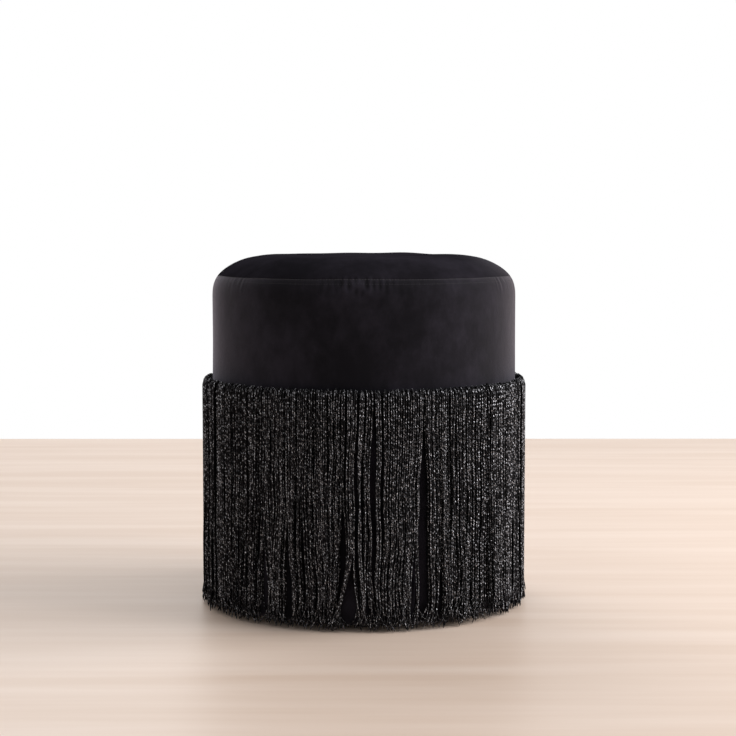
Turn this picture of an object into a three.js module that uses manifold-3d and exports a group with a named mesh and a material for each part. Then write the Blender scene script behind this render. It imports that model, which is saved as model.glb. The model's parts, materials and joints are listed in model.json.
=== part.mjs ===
// A round tuffet: a boarded drum frame, padded, covered in velvet and skirted with a deep fringe.
// Millimetres, +Z up. The origin is on the floor, under the middle of the seat.
import * as THREE from "three";
import { mergeVertices } from "three/addons/utils/BufferGeometryUtils.js";
import Module from "manifold-3d";

const wasm = await Module();
wasm.setup();

const { degToRad } = THREE.MathUtils;
const FULL_TURN = 2 * Math.PI;
const QUARTER_TURN = Math.PI / 2;

// Overall sizes
const SEAT_HEIGHT = 400;
const BODY_RADIUS = 175;
// The gap left between pieces that bear on each other
const FIT = 0.3;
// How far a cutter runs past the face that it opens
const OVERRUN = 1;

// How finely round shapes are divided
const ROUND_STEPS = 48;
const DOME_STEPS = 4;
const SHOULDER_STEPS = 2;
const FOOT_STEPS = 2;
const GLIDE_STEPS = 16;
const SCREW_STEPS = 8;
const NAIL_STEPS = 8;

// Velvet cover
const VELVET_THICKNESS = 1.5;
const CROWN_RADIUS = 60;
const SHOULDER_DROP = 50;
const SHOULDER_POWER = 3;
const SEAM_TURN = degToRad(23.6);
const SEAM_FLANK_TURN = degToRad(5);
const SEAM_DIP = 1.2;
const FOOT_ROUND = 5;
const TURN_UNDER_WIDTH = 40;

// Padding
const WADDING_THICKNESS = 6;
const FOAM_SKIRT = 8;
const SIDE_FOAM_THICKNESS = 10;

// Frame
const DRUM_WALL_THICKNESS = 3;
const DRUM_JOINT_GAP = 2;
const TOP_BOARD_THICKNESS = 12;
const BASE_BOARD_THICKNESS = 15;
const STRUT_COUNT = 4;
const STRUT_WIDTH = 32;
const STRUT_CHAMFER = 2;
const STRUT_INSET = 14;
const FIRST_STRUT_TURN = degToRad(45);

// Countersunk wood screws, 5 x 50
const SCREW_LENGTH = 50;
const SCREW_SHANK_RADIUS = 2.3;
const SCREW_HEAD_RADIUS = 4.6;
const SCREW_HEAD_DEPTH = 2.8;
const SCREW_TIP_LENGTH = 5;

// Nail-on floor glides
const GLIDE_COUNT = 4;
const GLIDE_HEIGHT = 5;
const GLIDE_RADIUS = 11;
const GLIDE_FLOOR_RADIUS = 9;
const GLIDE_EDGE_HEIGHT = 1.5;
const GLIDE_RECESS_DEPTH = 2;
const GLIDE_INSET = 27;
const NAIL_LENGTH = 16;
const NAIL_SHANK_RADIUS = 1.2;
const NAIL_HEAD_RADIUS = 3.2;
const NAIL_HEAD_THICKNESS = 1;
const NAIL_TIP_LENGTH = 2.5;

// Dust cover and its staples
const DUST_COVER_THICKNESS = 0.6;
const DUST_COVER_INSET = 12;
const STAPLE_COUNT = 12;
const STAPLE_CROWN_WIDTH = 10;
const STAPLE_LEG_LENGTH = 8;
const STAPLE_WIRE_WIDTH = 1.2;
const STAPLE_WIRE_THICKNESS = 0.7;
const STAPLE_INSET = 5.5;
const FIRST_STAPLE_TURN = degToRad(15);

// Fringe
const FRINGE_LENGTHS = ["front", "right", "back", "left"];
const FRINGE_TOP_HEIGHT = 261;
const FRINGE_HEM_HEIGHT = 1.5;
const FRINGE_STAND_OFF = 11.5;
const HEADING_THICKNESS = 3;
const HEADING_HEIGHT = 14;
const STRAND_WIDTH = 2.8;
const STRAND_DEPTH = 2.4;
const STRAND_GAP = 1.1;
const ARCH_HEIGHT = 8.5;
const HEM_STAGGER = 3.5;
const HEM_STAGGER_TURN = degToRad(137.5);
const SWAYS_ROUND_HEM = 24;
// Where a strand is bent on its arch, as turns from the arch's outer side
const ARCH_TURNS = [degToRad(105), degToRad(30)];

// Heights of the stack, from the floor up
const dustCoverFoot = GLIDE_HEIGHT + FIT;
const coverFoot = dustCoverFoot + DUST_COVER_THICKNESS + FIT;
const baseBoardFoot = coverFoot + VELVET_THICKNESS + FIT;
const baseBoardTop = baseBoardFoot + BASE_BOARD_THICKNESS;
const shoulderFoot = SEAT_HEIGHT - SHOULDER_DROP;
const foamFoot = shoulderFoot - FOAM_SKIRT;
const topBoardTop = foamFoot - FIT;
const topBoardFoot = topBoardTop - TOP_BOARD_THICKNESS;
const strutFoot = baseBoardTop + FIT;
const strutLength = topBoardFoot - FIT - strutFoot;

// Depths under the velvet's face, and radii, from the outside in
const waddingInset = VELVET_THICKNESS + FIT;
const foamInset = waddingInset + WADDING_THICKNESS + FIT;
const sideFoamOuter = BODY_RADIUS - waddingInset;
const sideFoamInner = sideFoamOuter - SIDE_FOAM_THICKNESS;
const drumOuter = sideFoamInner - FIT;
const drumInner = drumOuter - DRUM_WALL_THICKNESS;
const boardRadius = drumInner - FIT;
const turnUnderInner = BODY_RADIUS - TURN_UNDER_WIDTH;
const dustCoverRadius = BODY_RADIUS - DUST_COVER_INSET;
const strutCircle = boardRadius - STRUT_INSET - STRUT_WIDTH / 2;
const glideCircle = BODY_RADIUS - GLIDE_INSET;
const stapleCircle = boardRadius - STAPLE_INSET;

// The fringe, from its heading out to where the strands hang
const fringeRadius = BODY_RADIUS + FRINGE_STAND_OFF;
const strandCircle = fringeRadius - STRAND_DEPTH / 2;
const headingInner = BODY_RADIUS + FIT;
const headingMiddle = headingInner + HEADING_THICKNESS / 2;
const archFoot = FRINGE_TOP_HEIGHT - STRAND_DEPTH / 2 - ARCH_HEIGHT;
const strandsPerLength = Math.round((fringeRadius * QUARTER_TURN) / (STRAND_WIDTH + STRAND_GAP));
const strandTurn = QUARTER_TURN / strandsPerLength;
// As far as the hem can sway before neighbouring strands touch
const hemSway = (STRAND_GAP - FIT) / (SWAYS_ROUND_HEM * strandTurn);

const finishes = {
  velvet: finish(0x141315, 0.9, 0),
  loopFringe: finish(0x1b1a1c, 0.55, 0.2),
  wadding: finish(0xf1efe9, 0.95, 0),
  foam: finish(0xe7d9a8, 0.9, 0),
  hardboard: finish(0x6f4a2c, 0.7, 0),
  plywood: finish(0xc9a36b, 0.65, 0),
  pine: finish(0xdcbb84, 0.7, 0),
  dustCover: finish(0x18181a, 0.95, 0),
  plastic: finish(0x101010, 0.45, 0),
  steel: finish(0xb4b6b8, 0.35, 1),
};

function finish(color, roughness, metalness) {
  return new THREE.MeshStandardMaterial({ color, roughness, metalness });
}

function piece(name, geometry, material) {
  const mesh = new THREE.Mesh(geometry, material);
  mesh.name = name;
  return mesh;
}

/** Turns an outline of [radius, height] pairs about the Z axis, up the outside and down the inside. */
function turned(outline, steps = ROUND_STEPS) {
  const onAxis = outline[0][0] === 0;
  const closed = onAxis ? outline : [...outline, outline[0]];
  const points = closed.map(([radius, height]) => new THREE.Vector2(radius, height));
  return new THREE.LatheGeometry(points, steps).rotateX(QUARTER_TURN);
}

/** A closed geometry as a solid that can be cut and joined. */
function solidOf(geometry) {
  const bare = geometry.clone();
  bare.deleteAttribute("normal");
  bare.deleteAttribute("uv");
  const merged = mergeVertices(bare);
  return new wasm.Manifold(
    new wasm.Mesh({
      numProp: 3,
      vertProperties: merged.attributes.position.array,
      triVerts: new Uint32Array(merged.index.array),
    }),
  );
}

function geometryOf(solid) {
  const mesh = solid.getMesh();
  const geometry = new THREE.BufferGeometry();
  geometry.setAttribute("position", new THREE.BufferAttribute(mesh.vertProperties, 3));
  geometry.setIndex(new THREE.BufferAttribute(mesh.triVerts, 1));
  geometry.computeVertexNormals();
  return geometry;
}

/** A geometry with the cutters taken out of it. */
function cut(geometry, cutters) {
  return geometryOf(cutters.reduce((left, cutter) => left.subtract(solidOf(cutter)), solidOf(geometry)));
}

/** Places spaced evenly round a circle, each turned to face outwards. */
function ringOfSpots(count, radius, height, firstTurn) {
  return Array.from({ length: count }, (_, index) => {
    const turn = firstTurn + (index * FULL_TURN) / count;
    const spot = new THREE.Object3D();
    spot.position.set(radius * Math.cos(turn), radius * Math.sin(turn), height);
    spot.rotation.z = turn;
    spot.updateMatrix();
    return spot;
  });
}

function settle(mesh, spot) {
  mesh.position.copy(spot.position);
  mesh.rotation.copy(spot.rotation);
  return mesh;
}

function atSpots(geometry, spots) {
  return spots.map((spot) => geometry.clone().applyMatrix4(spot.matrix));
}

/** A point on the padded shoulder, inset from the velvet's face: turn 0 is at the side. */
function shoulderPoint(turn, inset) {
  const power = 2 / SHOULDER_POWER;
  const across = Math.max(0, Math.cos(turn)) ** power;
  const up = Math.max(0, Math.sin(turn)) ** power;
  return [
    CROWN_RADIUS + (BODY_RADIUS - CROWN_RADIUS - inset) * across,
    shoulderFoot + (SHOULDER_DROP - inset) * up,
  ];
}

/** Points from one turn to another, both ends included. */
function shoulderRun(fromTurn, toTurn, steps, inset) {
  return Array.from({ length: steps + 1 }, (_, step) =>
    shoulderPoint(fromTurn + ((toTurn - fromTurn) * step) / steps, inset),
  );
}

const seamPoint = (inset) => shoulderPoint(SEAM_TURN, inset + SEAM_DIP);
const sideLine = (inset) => shoulderRun(0, SEAM_TURN - SEAM_FLANK_TURN, SHOULDER_STEPS, inset);
const domeLine = (inset) => shoulderRun(SEAM_TURN + SEAM_FLANK_TURN, QUARTER_TURN, DOME_STEPS, inset);
const paddedLine = (inset) => [...sideLine(inset), seamPoint(inset), ...domeLine(inset)];

/** The rounded lower corner of the body, from the underside out to the side. */
function footLine(inset) {
  return Array.from({ length: FOOT_STEPS + 1 }, (_, step) => {
    const turn = (QUARTER_TURN * step) / FOOT_STEPS;
    return [
      BODY_RADIUS - FOOT_ROUND + (FOOT_ROUND - inset) * Math.sin(turn),
      coverFoot + FOOT_ROUND - (FOOT_ROUND - inset) * Math.cos(turn),
    ];
  });
}

// A countersunk screw hangs from the top of its head, at height 0. Grown, it is the outline of its own hole.
function screwOutline(grow = 0) {
  const foot = -SCREW_LENGTH - grow;
  return [
    [0, foot],
    [SCREW_SHANK_RADIUS + grow, foot + SCREW_TIP_LENGTH],
    [SCREW_SHANK_RADIUS + grow, -SCREW_HEAD_DEPTH - grow],
    [SCREW_HEAD_RADIUS + grow, -grow],
  ];
}

function screwHole() {
  return turned([...screwOutline(FIT), [SCREW_HEAD_RADIUS + FIT, OVERRUN], [0, OVERRUN]], SCREW_STEPS);
}

// Two runs of screws hold each strut: one down through the top board, one up through the base board.
const topScrewSpots = ringOfSpots(STRUT_COUNT, strutCircle, topBoardTop, FIRST_STRUT_TURN);
const baseScrewSpots = ringOfSpots(STRUT_COUNT, strutCircle, baseBoardFoot, FIRST_STRUT_TURN);
baseScrewSpots.forEach((spot) => {
  spot.rotation.x = Math.PI;
  spot.updateMatrix();
});
const screwSpots = [...topScrewSpots, ...baseScrewSpots];
const screwHoles = atSpots(screwHole(), screwSpots);

function screws() {
  const geometry = turned([...screwOutline(), [0, 0]], SCREW_STEPS);
  return screwSpots.map((spot, index) => {
    const end = index < STRUT_COUNT ? "top" : "base";
    return settle(piece(`${end}_screw_${(index % STRUT_COUNT) + 1}`, geometry, finishes.steel), spot);
  });
}

// A glide nail stands on its head, and its head bears on the floor of the glide's recess.
const nailFoot = GLIDE_RECESS_DEPTH - FIT - NAIL_HEAD_THICKNESS;
const glideSpots = ringOfSpots(GLIDE_COUNT, glideCircle, 0, 0);

function nailGeometry(grow = 0) {
  const tip = nailFoot + NAIL_LENGTH + grow;
  return turned(
    [
      [0, nailFoot - grow],
      [NAIL_HEAD_RADIUS + grow, nailFoot - grow],
      [NAIL_HEAD_RADIUS + grow, nailFoot + NAIL_HEAD_THICKNESS + grow],
      [NAIL_SHANK_RADIUS + grow, nailFoot + NAIL_HEAD_THICKNESS + grow],
      [NAIL_SHANK_RADIUS + grow, tip - NAIL_TIP_LENGTH],
      [0, tip],
    ],
    NAIL_STEPS,
  );
}

const nailHoles = atSpots(nailGeometry(FIT), glideSpots);

function glides() {
  const shankHole = NAIL_SHANK_RADIUS + FIT;
  const recess = NAIL_HEAD_RADIUS + FIT;
  const geometry = turned(
    [
      [recess, 0],
      [GLIDE_FLOOR_RADIUS, 0],
      [GLIDE_RADIUS, GLIDE_EDGE_HEIGHT],
      [GLIDE_RADIUS, GLIDE_HEIGHT],
      [shankHole, GLIDE_HEIGHT],
      [shankHole, GLIDE_RECESS_DEPTH],
      [recess, GLIDE_RECESS_DEPTH],
    ],
    GLIDE_STEPS,
  );
  return glideSpots.flatMap((spot, index) => [
    settle(piece(`floor_glide_${index + 1}`, geometry, finishes.plastic), spot),
    settle(piece(`glide_nail_${index + 1}`, nailGeometry(), finishes.steel), spot),
  ]);
}

// A staple's crown lies under the dust cover, along the edge, and its legs run up into the base board.
const stapleCrownTop = dustCoverFoot - FIT;
const stapleSpots = ringOfSpots(STAPLE_COUNT, stapleCircle, stapleCrownTop, FIRST_STAPLE_TURN);

/** A solid of one width from an outline of [along, height] pairs, centred on a staple's middle. */
function wireShape(outline, width) {
  const shape = new THREE.Shape(outline.map(([along, height]) => new THREE.Vector2(along, height)));
  return new THREE.ExtrudeGeometry(shape, { depth: width, bevelEnabled: false })
    .translate(0, 0, -width / 2)
    .rotateX(QUARTER_TURN)
    .rotateZ(QUARTER_TURN);
}

function stapleLegs() {
  const half = STAPLE_CROWN_WIDTH / 2;
  const inner = half - STAPLE_WIRE_THICKNESS - FIT;
  return [-1, 1].map((side) => {
    const [near, far] = [side * inner, side * (half + FIT)].sort((a, b) => a - b);
    return wireShape(
      [
        [near, -OVERRUN],
        [far, -OVERRUN],
        [far, STAPLE_LEG_LENGTH + FIT],
        [near, STAPLE_LEG_LENGTH + FIT],
      ],
      STAPLE_WIRE_WIDTH + 2 * FIT,
    );
  });
}

const stapleHoles = stapleLegs().flatMap((leg) => atSpots(leg, stapleSpots));

function staples() {
  const half = STAPLE_CROWN_WIDTH / 2;
  const inner = half - STAPLE_WIRE_THICKNESS;
  const geometry = wireShape(
    [
      [-half, -STAPLE_WIRE_THICKNESS],
      [half, -STAPLE_WIRE_THICKNESS],
      [half, STAPLE_LEG_LENGTH],
      [inner, STAPLE_LEG_LENGTH],
      [inner, 0],
      [-inner, 0],
      [-inner, STAPLE_LEG_LENGTH],
      [-half, STAPLE_LEG_LENGTH],
    ],
    STAPLE_WIRE_WIDTH,
  );
  return stapleSpots.map((spot, index) =>
    settle(piece(`cover_staple_${index + 1}`, geometry, finishes.steel), spot),
  );
}

function disc(radius, foot, top) {
  return turned([
    [0, foot],
    [radius, foot],
    [radius, top],
    [0, top],
  ]);
}

function baseBoard() {
  const blank = disc(boardRadius, baseBoardFoot, baseBoardTop);
  return piece("base_board", cut(blank, [...screwHoles, ...nailHoles, ...stapleHoles]), finishes.plywood);
}

function topBoard() {
  return piece("top_board", cut(disc(boardRadius, topBoardFoot, topBoardTop), screwHoles), finishes.plywood);
}

// The drum is one bent sheet, and its two edges meet at the back.
function drumWall() {
  const sheet = turned([
    [drumInner, baseBoardFoot],
    [drumOuter, baseBoardFoot],
    [drumOuter, topBoardTop],
    [drumInner, topBoardTop],
  ]);
  const height = topBoardTop - baseBoardFoot + 2 * OVERRUN;
  const joint = new THREE.BoxGeometry(DRUM_JOINT_GAP, DRUM_WALL_THICKNESS + 2 * OVERRUN, height);
  joint.translate(0, (drumInner + drumOuter) / 2, (baseBoardFoot + topBoardTop) / 2);
  return piece("drum_wall", cut(sheet, [joint]), finishes.hardboard);
}

// A square post with its long edges taken off.
function strutBlank() {
  const half = STRUT_WIDTH / 2;
  const flat = half - STRUT_CHAMFER;
  const outline = [
    [-flat, -half],
    [flat, -half],
    [half, -flat],
    [half, flat],
    [flat, half],
    [-flat, half],
    [-half, flat],
    [-half, -flat],
  ];
  const shape = new THREE.Shape(outline.map(([x, y]) => new THREE.Vector2(x, y)));
  return new THREE.ExtrudeGeometry(shape, { depth: strutLength, bevelEnabled: false });
}

function struts() {
  const topHole = screwHole().translate(0, 0, topBoardTop - strutFoot);
  const baseHole = screwHole()
    .rotateX(Math.PI)
    .translate(0, 0, baseBoardFoot - strutFoot);
  const geometry = cut(strutBlank(), [topHole, baseHole]);
  return ringOfSpots(STRUT_COUNT, strutCircle, strutFoot, FIRST_STRUT_TURN).map((spot, index) =>
    settle(piece(`frame_strut_${index + 1}`, geometry, finishes.pine), spot),
  );
}

function sideFoam() {
  const outline = [
    [sideFoamInner, baseBoardFoot],
    ...footLine(waddingInset),
    [sideFoamOuter, topBoardTop],
    [sideFoamInner, topBoardTop],
  ];
  return piece("side_foam", turned(outline), finishes.foam);
}

function seatFoam() {
  const outline = [
    [0, foamFoot],
    [BODY_RADIUS - foamInset, foamFoot],
    ...paddedLine(foamInset),
    [0, SEAT_HEIGHT - foamInset],
  ];
  return piece("seat_foam", turned(outline), finishes.foam);
}

// Wadding caps the foam, down to the side foam's top edge.
function seatWadding() {
  const inset = waddingInset + WADDING_THICKNESS;
  const outline = [
    [0, SEAT_HEIGHT - inset],
    ...paddedLine(inset).reverse(),
    [BODY_RADIUS - inset, foamFoot],
    [BODY_RADIUS - waddingInset, foamFoot],
    ...paddedLine(waddingInset),
    [0, SEAT_HEIGHT - waddingInset],
  ];
  return piece("seat_wadding", turned(outline), finishes.wadding);
}

// The round top panel of the cover, down to the seam.
function seatCover() {
  const outline = [
    [0, SEAT_HEIGHT - VELVET_THICKNESS],
    ...domeLine(VELVET_THICKNESS).reverse(),
    seamPoint(VELVET_THICKNESS),
    seamPoint(0),
    ...domeLine(0),
    [0, SEAT_HEIGHT],
  ];
  return piece("seat_cover", turned(outline), finishes.velvet);
}

// The side panel of the cover, from the seam down and in under the base board.
function sideCover() {
  const underSeam = ([radius, height]) => [radius, height - FIT];
  const outline = [
    [turnUnderInner, coverFoot],
    ...footLine(0),
    ...sideLine(0),
    underSeam(seamPoint(0)),
    underSeam(seamPoint(VELVET_THICKNESS)),
    ...sideLine(VELVET_THICKNESS).reverse(),
    ...footLine(VELVET_THICKNESS).reverse(),
    [turnUnderInner, coverFoot + VELVET_THICKNESS],
  ];
  return piece("side_cover", cut(turned(outline), [...stapleHoles, ...nailHoles]), finishes.velvet);
}

function dustCover() {
  const sheet = disc(dustCoverRadius, dustCoverFoot, dustCoverFoot + DUST_COVER_THICKNESS);
  return piece("dust_cover", cut(sheet, [...stapleHoles, ...nailHoles]), finishes.dustCover);
}

/** One ring of a strand: three corners round a centre, in the upright plane at a turn round the body. */
function strandRing(turn, radius, height, outward, depth = STRAND_DEPTH) {
  const corners = [
    [-STRAND_WIDTH / 2, -depth / 2],
    [STRAND_WIDTH / 2, -depth / 2],
    [0, depth / 2],
  ];
  return corners.map(([along, out]) => {
    const reach = radius + out * Math.cos(outward);
    return [
      reach * Math.cos(turn) - along * Math.sin(turn),
      reach * Math.sin(turn) + along * Math.cos(turn),
      height + out * Math.sin(outward),
    ];
  });
}

/** The triangles between two rings of as many corners, as a list of points. */
function band(ring, nextRing) {
  return ring.flatMap((corner, index) => {
    const after = (index + 1) % ring.length;
    return [corner, ring[after], nextRing[index], ring[after], nextRing[after], nextRing[index]];
  });
}

/** The triangles of a level face inside an outline and round its holes, as a list of points. */
function levelFace(outline, holes = []) {
  const flat = (ring) => ring.map(([x, y]) => new THREE.Vector2(x, y));
  const corners = [outline, ...holes].flat();
  const triangles = THREE.ShapeUtils.triangulateShape(flat(outline), holes.map(flat));
  return triangles.flat().map((corner) => corners[corner]);
}

// A strand leaves the top of the heading, arches over it and hangs to the hem.
function strandRings(turn, index) {
  const archMiddle = (headingMiddle + strandCircle) / 2;
  const archReach = (strandCircle - headingMiddle) / 2;
  const sway = (hemSway * Math.sin(turn * SWAYS_ROUND_HEM)) / strandCircle;
  const lift = (HEM_STAGGER * (1 + Math.sin(index * HEM_STAGGER_TURN))) / 2;
  return [
    strandRing(turn, headingMiddle, archFoot, Math.PI, HEADING_THICKNESS / 2),
    ...ARCH_TURNS.map((arch) =>
      strandRing(
        turn,
        archMiddle + archReach * Math.cos(arch),
        archFoot + ARCH_HEIGHT * Math.sin(arch),
        arch,
      ),
    ),
    strandRing(turn + sway, strandCircle, FRINGE_HEM_HEIGHT + lift, 0),
  ];
}

// The heading is a flat tape that lies on the velvet, here a quarter of the way round.
function headingOutline(firstTurn, height) {
  const endTurn = FIT / headingInner / 2;
  const [from, to] = [firstTurn + endTurn, firstTurn + QUARTER_TURN - endTurn];
  const outline = new THREE.Path();
  outline.absarc(0, 0, headingInner + HEADING_THICKNESS, from, to, false);
  outline.absarc(0, 0, headingInner, to, from, true);
  return outline.getPoints(ROUND_STEPS / 4).map(({ x, y }) => [x, y, height]);
}

/** One length of fringe as a single skin: the tape, and the strands that grow from its top face. */
function fringeLength(firstTurn) {
  const foot = headingOutline(firstTurn, archFoot - HEADING_HEIGHT);
  const top = headingOutline(firstTurn, archFoot);
  const strands = Array.from({ length: strandsPerLength }, (_, index) =>
    strandRings(firstTurn + strandTurn * (index + 1 / 2), index),
  );
  const triangles = [
    ...levelFace(foot).reverse(),
    ...band(foot, top),
    ...levelFace(top, strands.map(([root]) => root)),
    ...strands.flatMap((rings) => rings.slice(1).flatMap((ring, index) => band(rings[index], ring))),
    ...strands.flatMap((rings) => rings.at(-1)),
  ];
  const geometry = new THREE.BufferGeometry();
  geometry.setAttribute("position", new THREE.Float32BufferAttribute(triangles.flat(), 3));
  geometry.computeVertexNormals();
  return geometry;
}

// The fringe goes round in four lengths, butted end to end.
function fringe() {
  return FRINGE_LENGTHS.map((side, number) => {
    const firstTurn = QUARTER_TURN * number - QUARTER_TURN - QUARTER_TURN / 2;
    return piece(`fringe_${side}`, fringeLength(firstTurn), finishes.loopFringe);
  });
}

function assembly(...pieces) {
  const group = new THREE.Group();
  group.add(...pieces);
  return group;
}

const frame = assembly(baseBoard(), topBoard(), drumWall(), ...struts(), ...screws());
const padding = assembly(sideFoam(), seatFoam(), seatWadding());
const cover = assembly(seatCover(), sideCover(), dustCover(), ...staples());
const tuffet = assembly(frame, padding, cover, ...glides(), ...fringe());

export default tuffet;
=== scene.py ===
"""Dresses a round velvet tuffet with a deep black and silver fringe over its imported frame.

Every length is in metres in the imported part's own frame: the floor is at height zero, the seat faces
up, and the side that the photograph shows faces -Y. A turn round the axis is counted in radians from +X.
"""

from __future__ import annotations

import json
import logging
import math
from dataclasses import dataclass, field, replace
from enum import Enum, auto
from functools import cached_property
from typing import Callable, Union

import bmesh
import bpy
import numpy as np
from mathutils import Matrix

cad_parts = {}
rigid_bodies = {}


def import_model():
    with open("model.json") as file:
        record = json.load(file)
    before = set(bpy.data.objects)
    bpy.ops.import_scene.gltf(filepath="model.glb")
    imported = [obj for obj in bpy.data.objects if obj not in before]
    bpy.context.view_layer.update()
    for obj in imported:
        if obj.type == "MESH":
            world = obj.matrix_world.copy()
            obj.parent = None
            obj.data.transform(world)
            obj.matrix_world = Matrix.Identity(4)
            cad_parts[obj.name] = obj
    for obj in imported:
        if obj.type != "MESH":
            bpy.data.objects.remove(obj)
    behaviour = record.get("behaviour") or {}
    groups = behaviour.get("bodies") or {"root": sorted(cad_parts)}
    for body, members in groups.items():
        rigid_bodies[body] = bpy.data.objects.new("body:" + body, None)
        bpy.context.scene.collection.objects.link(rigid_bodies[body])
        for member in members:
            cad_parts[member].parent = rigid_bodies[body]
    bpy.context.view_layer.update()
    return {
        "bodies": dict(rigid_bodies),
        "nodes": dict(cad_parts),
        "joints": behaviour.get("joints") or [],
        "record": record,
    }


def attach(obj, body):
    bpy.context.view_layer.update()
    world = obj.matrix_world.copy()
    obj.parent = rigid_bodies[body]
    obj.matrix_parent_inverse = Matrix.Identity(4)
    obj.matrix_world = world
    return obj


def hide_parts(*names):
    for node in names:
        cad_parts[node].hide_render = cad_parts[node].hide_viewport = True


FULL_TURN = 2 * math.pi
HALF_TURN = math.pi
QUARTER_TURN = math.pi / 2
MIDDLE = 0.5
AXES = 3
WELD_DISTANCE = 2e-6

BODY = "root"
BAKE_MAP = "OFBake"
PLEAT_MAP = "pleats"

log = logging.getLogger("tuffet")

Colour = tuple[float, float, float, float]
Span = tuple[float, float]
Source = Union["Value", float, int, bool, str, tuple, bpy.types.ID]
Inputs = dict[Union[str, int], Source]
Line = list[tuple[float, float]]
Shape = Callable[["Places"], "Places"]


# Node trees written as expressions


def operators(operation: str) -> tuple[Callable, Callable]:
    """Makes one of Python's operators from an operation of the Math node.

    Args:
        operation: the operation.

    Returns:
        The operator's method and its reflected form.
    """

    def forward(value: Value, other: Source) -> Value:
        """Puts the value first."""
        return value.tree.maths(operation, value, other)

    def reflected(value: Value, other: Source) -> Value:
        """Puts the value last."""
        return value.tree.maths(operation, other, value)

    return forward, reflected


def function(operation: str) -> Callable:
    """Makes a method from an operation of the Math node that takes one number."""
    return lambda value: value.tree.maths(operation, value)


class Value:
    """A node's output socket that Python's operators work on."""

    def __init__(self, tree: Tree, socket: bpy.types.NodeSocket) -> None:
        """Wraps an output socket of a tree."""
        self.tree = tree
        self.socket = socket

    __add__, __radd__ = operators("ADD")
    __sub__, __rsub__ = operators("SUBTRACT")
    __mul__, __rmul__ = operators("MULTIPLY")
    __truediv__, __rtruediv__ = operators("DIVIDE")
    __mod__, __rmod__ = operators("FLOORED_MODULO")
    __pow__, __rpow__ = operators("POWER")
    __gt__, __lt__ = operators("GREATER_THAN")
    at_least = operators("MAXIMUM")[0]
    at_most = operators("MINIMUM")[0]
    fraction = function("FRACT")
    whole = function("FLOOR")
    size = function("ABSOLUTE")
    sign = function("SIGN")
    sine = function("SINE")
    cosine = function("COSINE")
    exponential = function("EXPONENT")

    def within_one(self) -> Value:
        """Returns the number held between zero and one."""
        return self.at_least(0.0).at_most(1.0)

    def raised(self) -> Value:
        """Brings a number between minus one and one to between zero and one."""
        return (self + 1) / 2

    def wave(self, pitch: float) -> Value:
        """Returns a sine that repeats after a length."""
        return (self * (FULL_TURN / pitch)).sine()

    def wrapped(self, span: float) -> Value:
        """Brings the number into one span that is centred on zero."""
        return self.tree.maths("WRAP", self, span / 2, -span / 2)

    def eased(self, low: Source, high: Source) -> Value:
        """Rises smoothly from zero, at or below the low end, to one at the high end."""
        inputs = {"Value": self, "From Min": low, "From Max": high}
        return self.tree.value("ShaderNodeMapRange", inputs, interpolation_type="SMOOTHSTEP")


class Tree:
    """A node tree of a material, the world or a modifier."""

    def __init__(self, group: bpy.types.NodeTree) -> None:
        """Starts on Blender's own node tree, whose nodes are removed."""
        self.group = group
        self.group.nodes.clear()

    def node(self, kind: str, inputs: Inputs | None = None, **settings: object) -> bpy.types.Node:
        """Adds one node.

        Args:
            kind: the node's type.
            inputs: a value or link for each socket, by the socket's name or number.
            settings: the node's own settings, which are made first.

        Returns:
            The new node.
        """
        node = self.group.nodes.new(kind)
        for name, setting in settings.items():
            setattr(node, name, setting)
        for key, source in (inputs or {}).items():
            socket = self.socket(node.inputs, key)
            if isinstance(source, Value):
                self.group.links.new(source.socket, socket)
            else:
                socket.default_value = source
        return node

    @staticmethod
    def socket(sockets: bpy.types.NodeInputs, key: str | int) -> bpy.types.NodeSocket:
        """Finds a node's socket.

        Args:
            sockets: the node's inputs or outputs.
            key: the socket's number, or its name among those in use.

        Returns:
            The socket.
        """
        if isinstance(key, int):
            return sockets[key]
        return next(socket for socket in sockets if socket.name == key and socket.enabled)

    def value(
        self,
        kind: str,
        inputs: Inputs | None = None,
        output: str | int | None = None,
        **settings: object,
    ) -> Value:
        """Adds one node and wraps one of its outputs.

        Args:
            kind: the node's type.
            inputs: a value or link for each socket, by the socket's name or number.
            output: the output's name or number, or None for the first one in use.
            settings: the node's own settings.

        Returns:
            The output.
        """
        node = self.node(kind, inputs, **settings)
        if output is None:
            return Value(self, next(socket for socket in node.outputs if socket.enabled))
        return Value(self, self.socket(node.outputs, output))

    def maths(self, operation: str, *sources: Source) -> Value:
        """Adds a Math node with its numbers."""
        return self.value("ShaderNodeMath", dict(enumerate(sources)), operation=operation)

    def joined(self, across: Source, deep: Source, high: Source) -> Value:
        """Makes a vector from its X, Y and Z."""
        return self.value("ShaderNodeCombineXYZ", {"X": across, "Y": deep, "Z": high})

    def parts(self, vector: Value) -> tuple[Value, Value, Value]:
        """Splits a vector into its X, Y and Z."""
        node = self.node("ShaderNodeSeparateXYZ", {0: vector})
        return tuple(Value(self, socket) for socket in node.outputs)

    def blend(self, share: Source, first: Source, second: Source) -> Value:
        """Mixes two colours, by how much of the second one shows."""
        inputs = {"Factor": share, "A": first, "B": second}
        return self.value("ShaderNodeMix", inputs, data_type="RGBA")

    def bump(self, relief: Value, depth: float, **under: Value) -> Value:
        """Turns a relief from zero to one into a normal, over the normal under it if there is one."""
        inputs = {"Height": relief, "Distance": depth, **under}
        return self.value("ShaderNodeBump", inputs)


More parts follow.
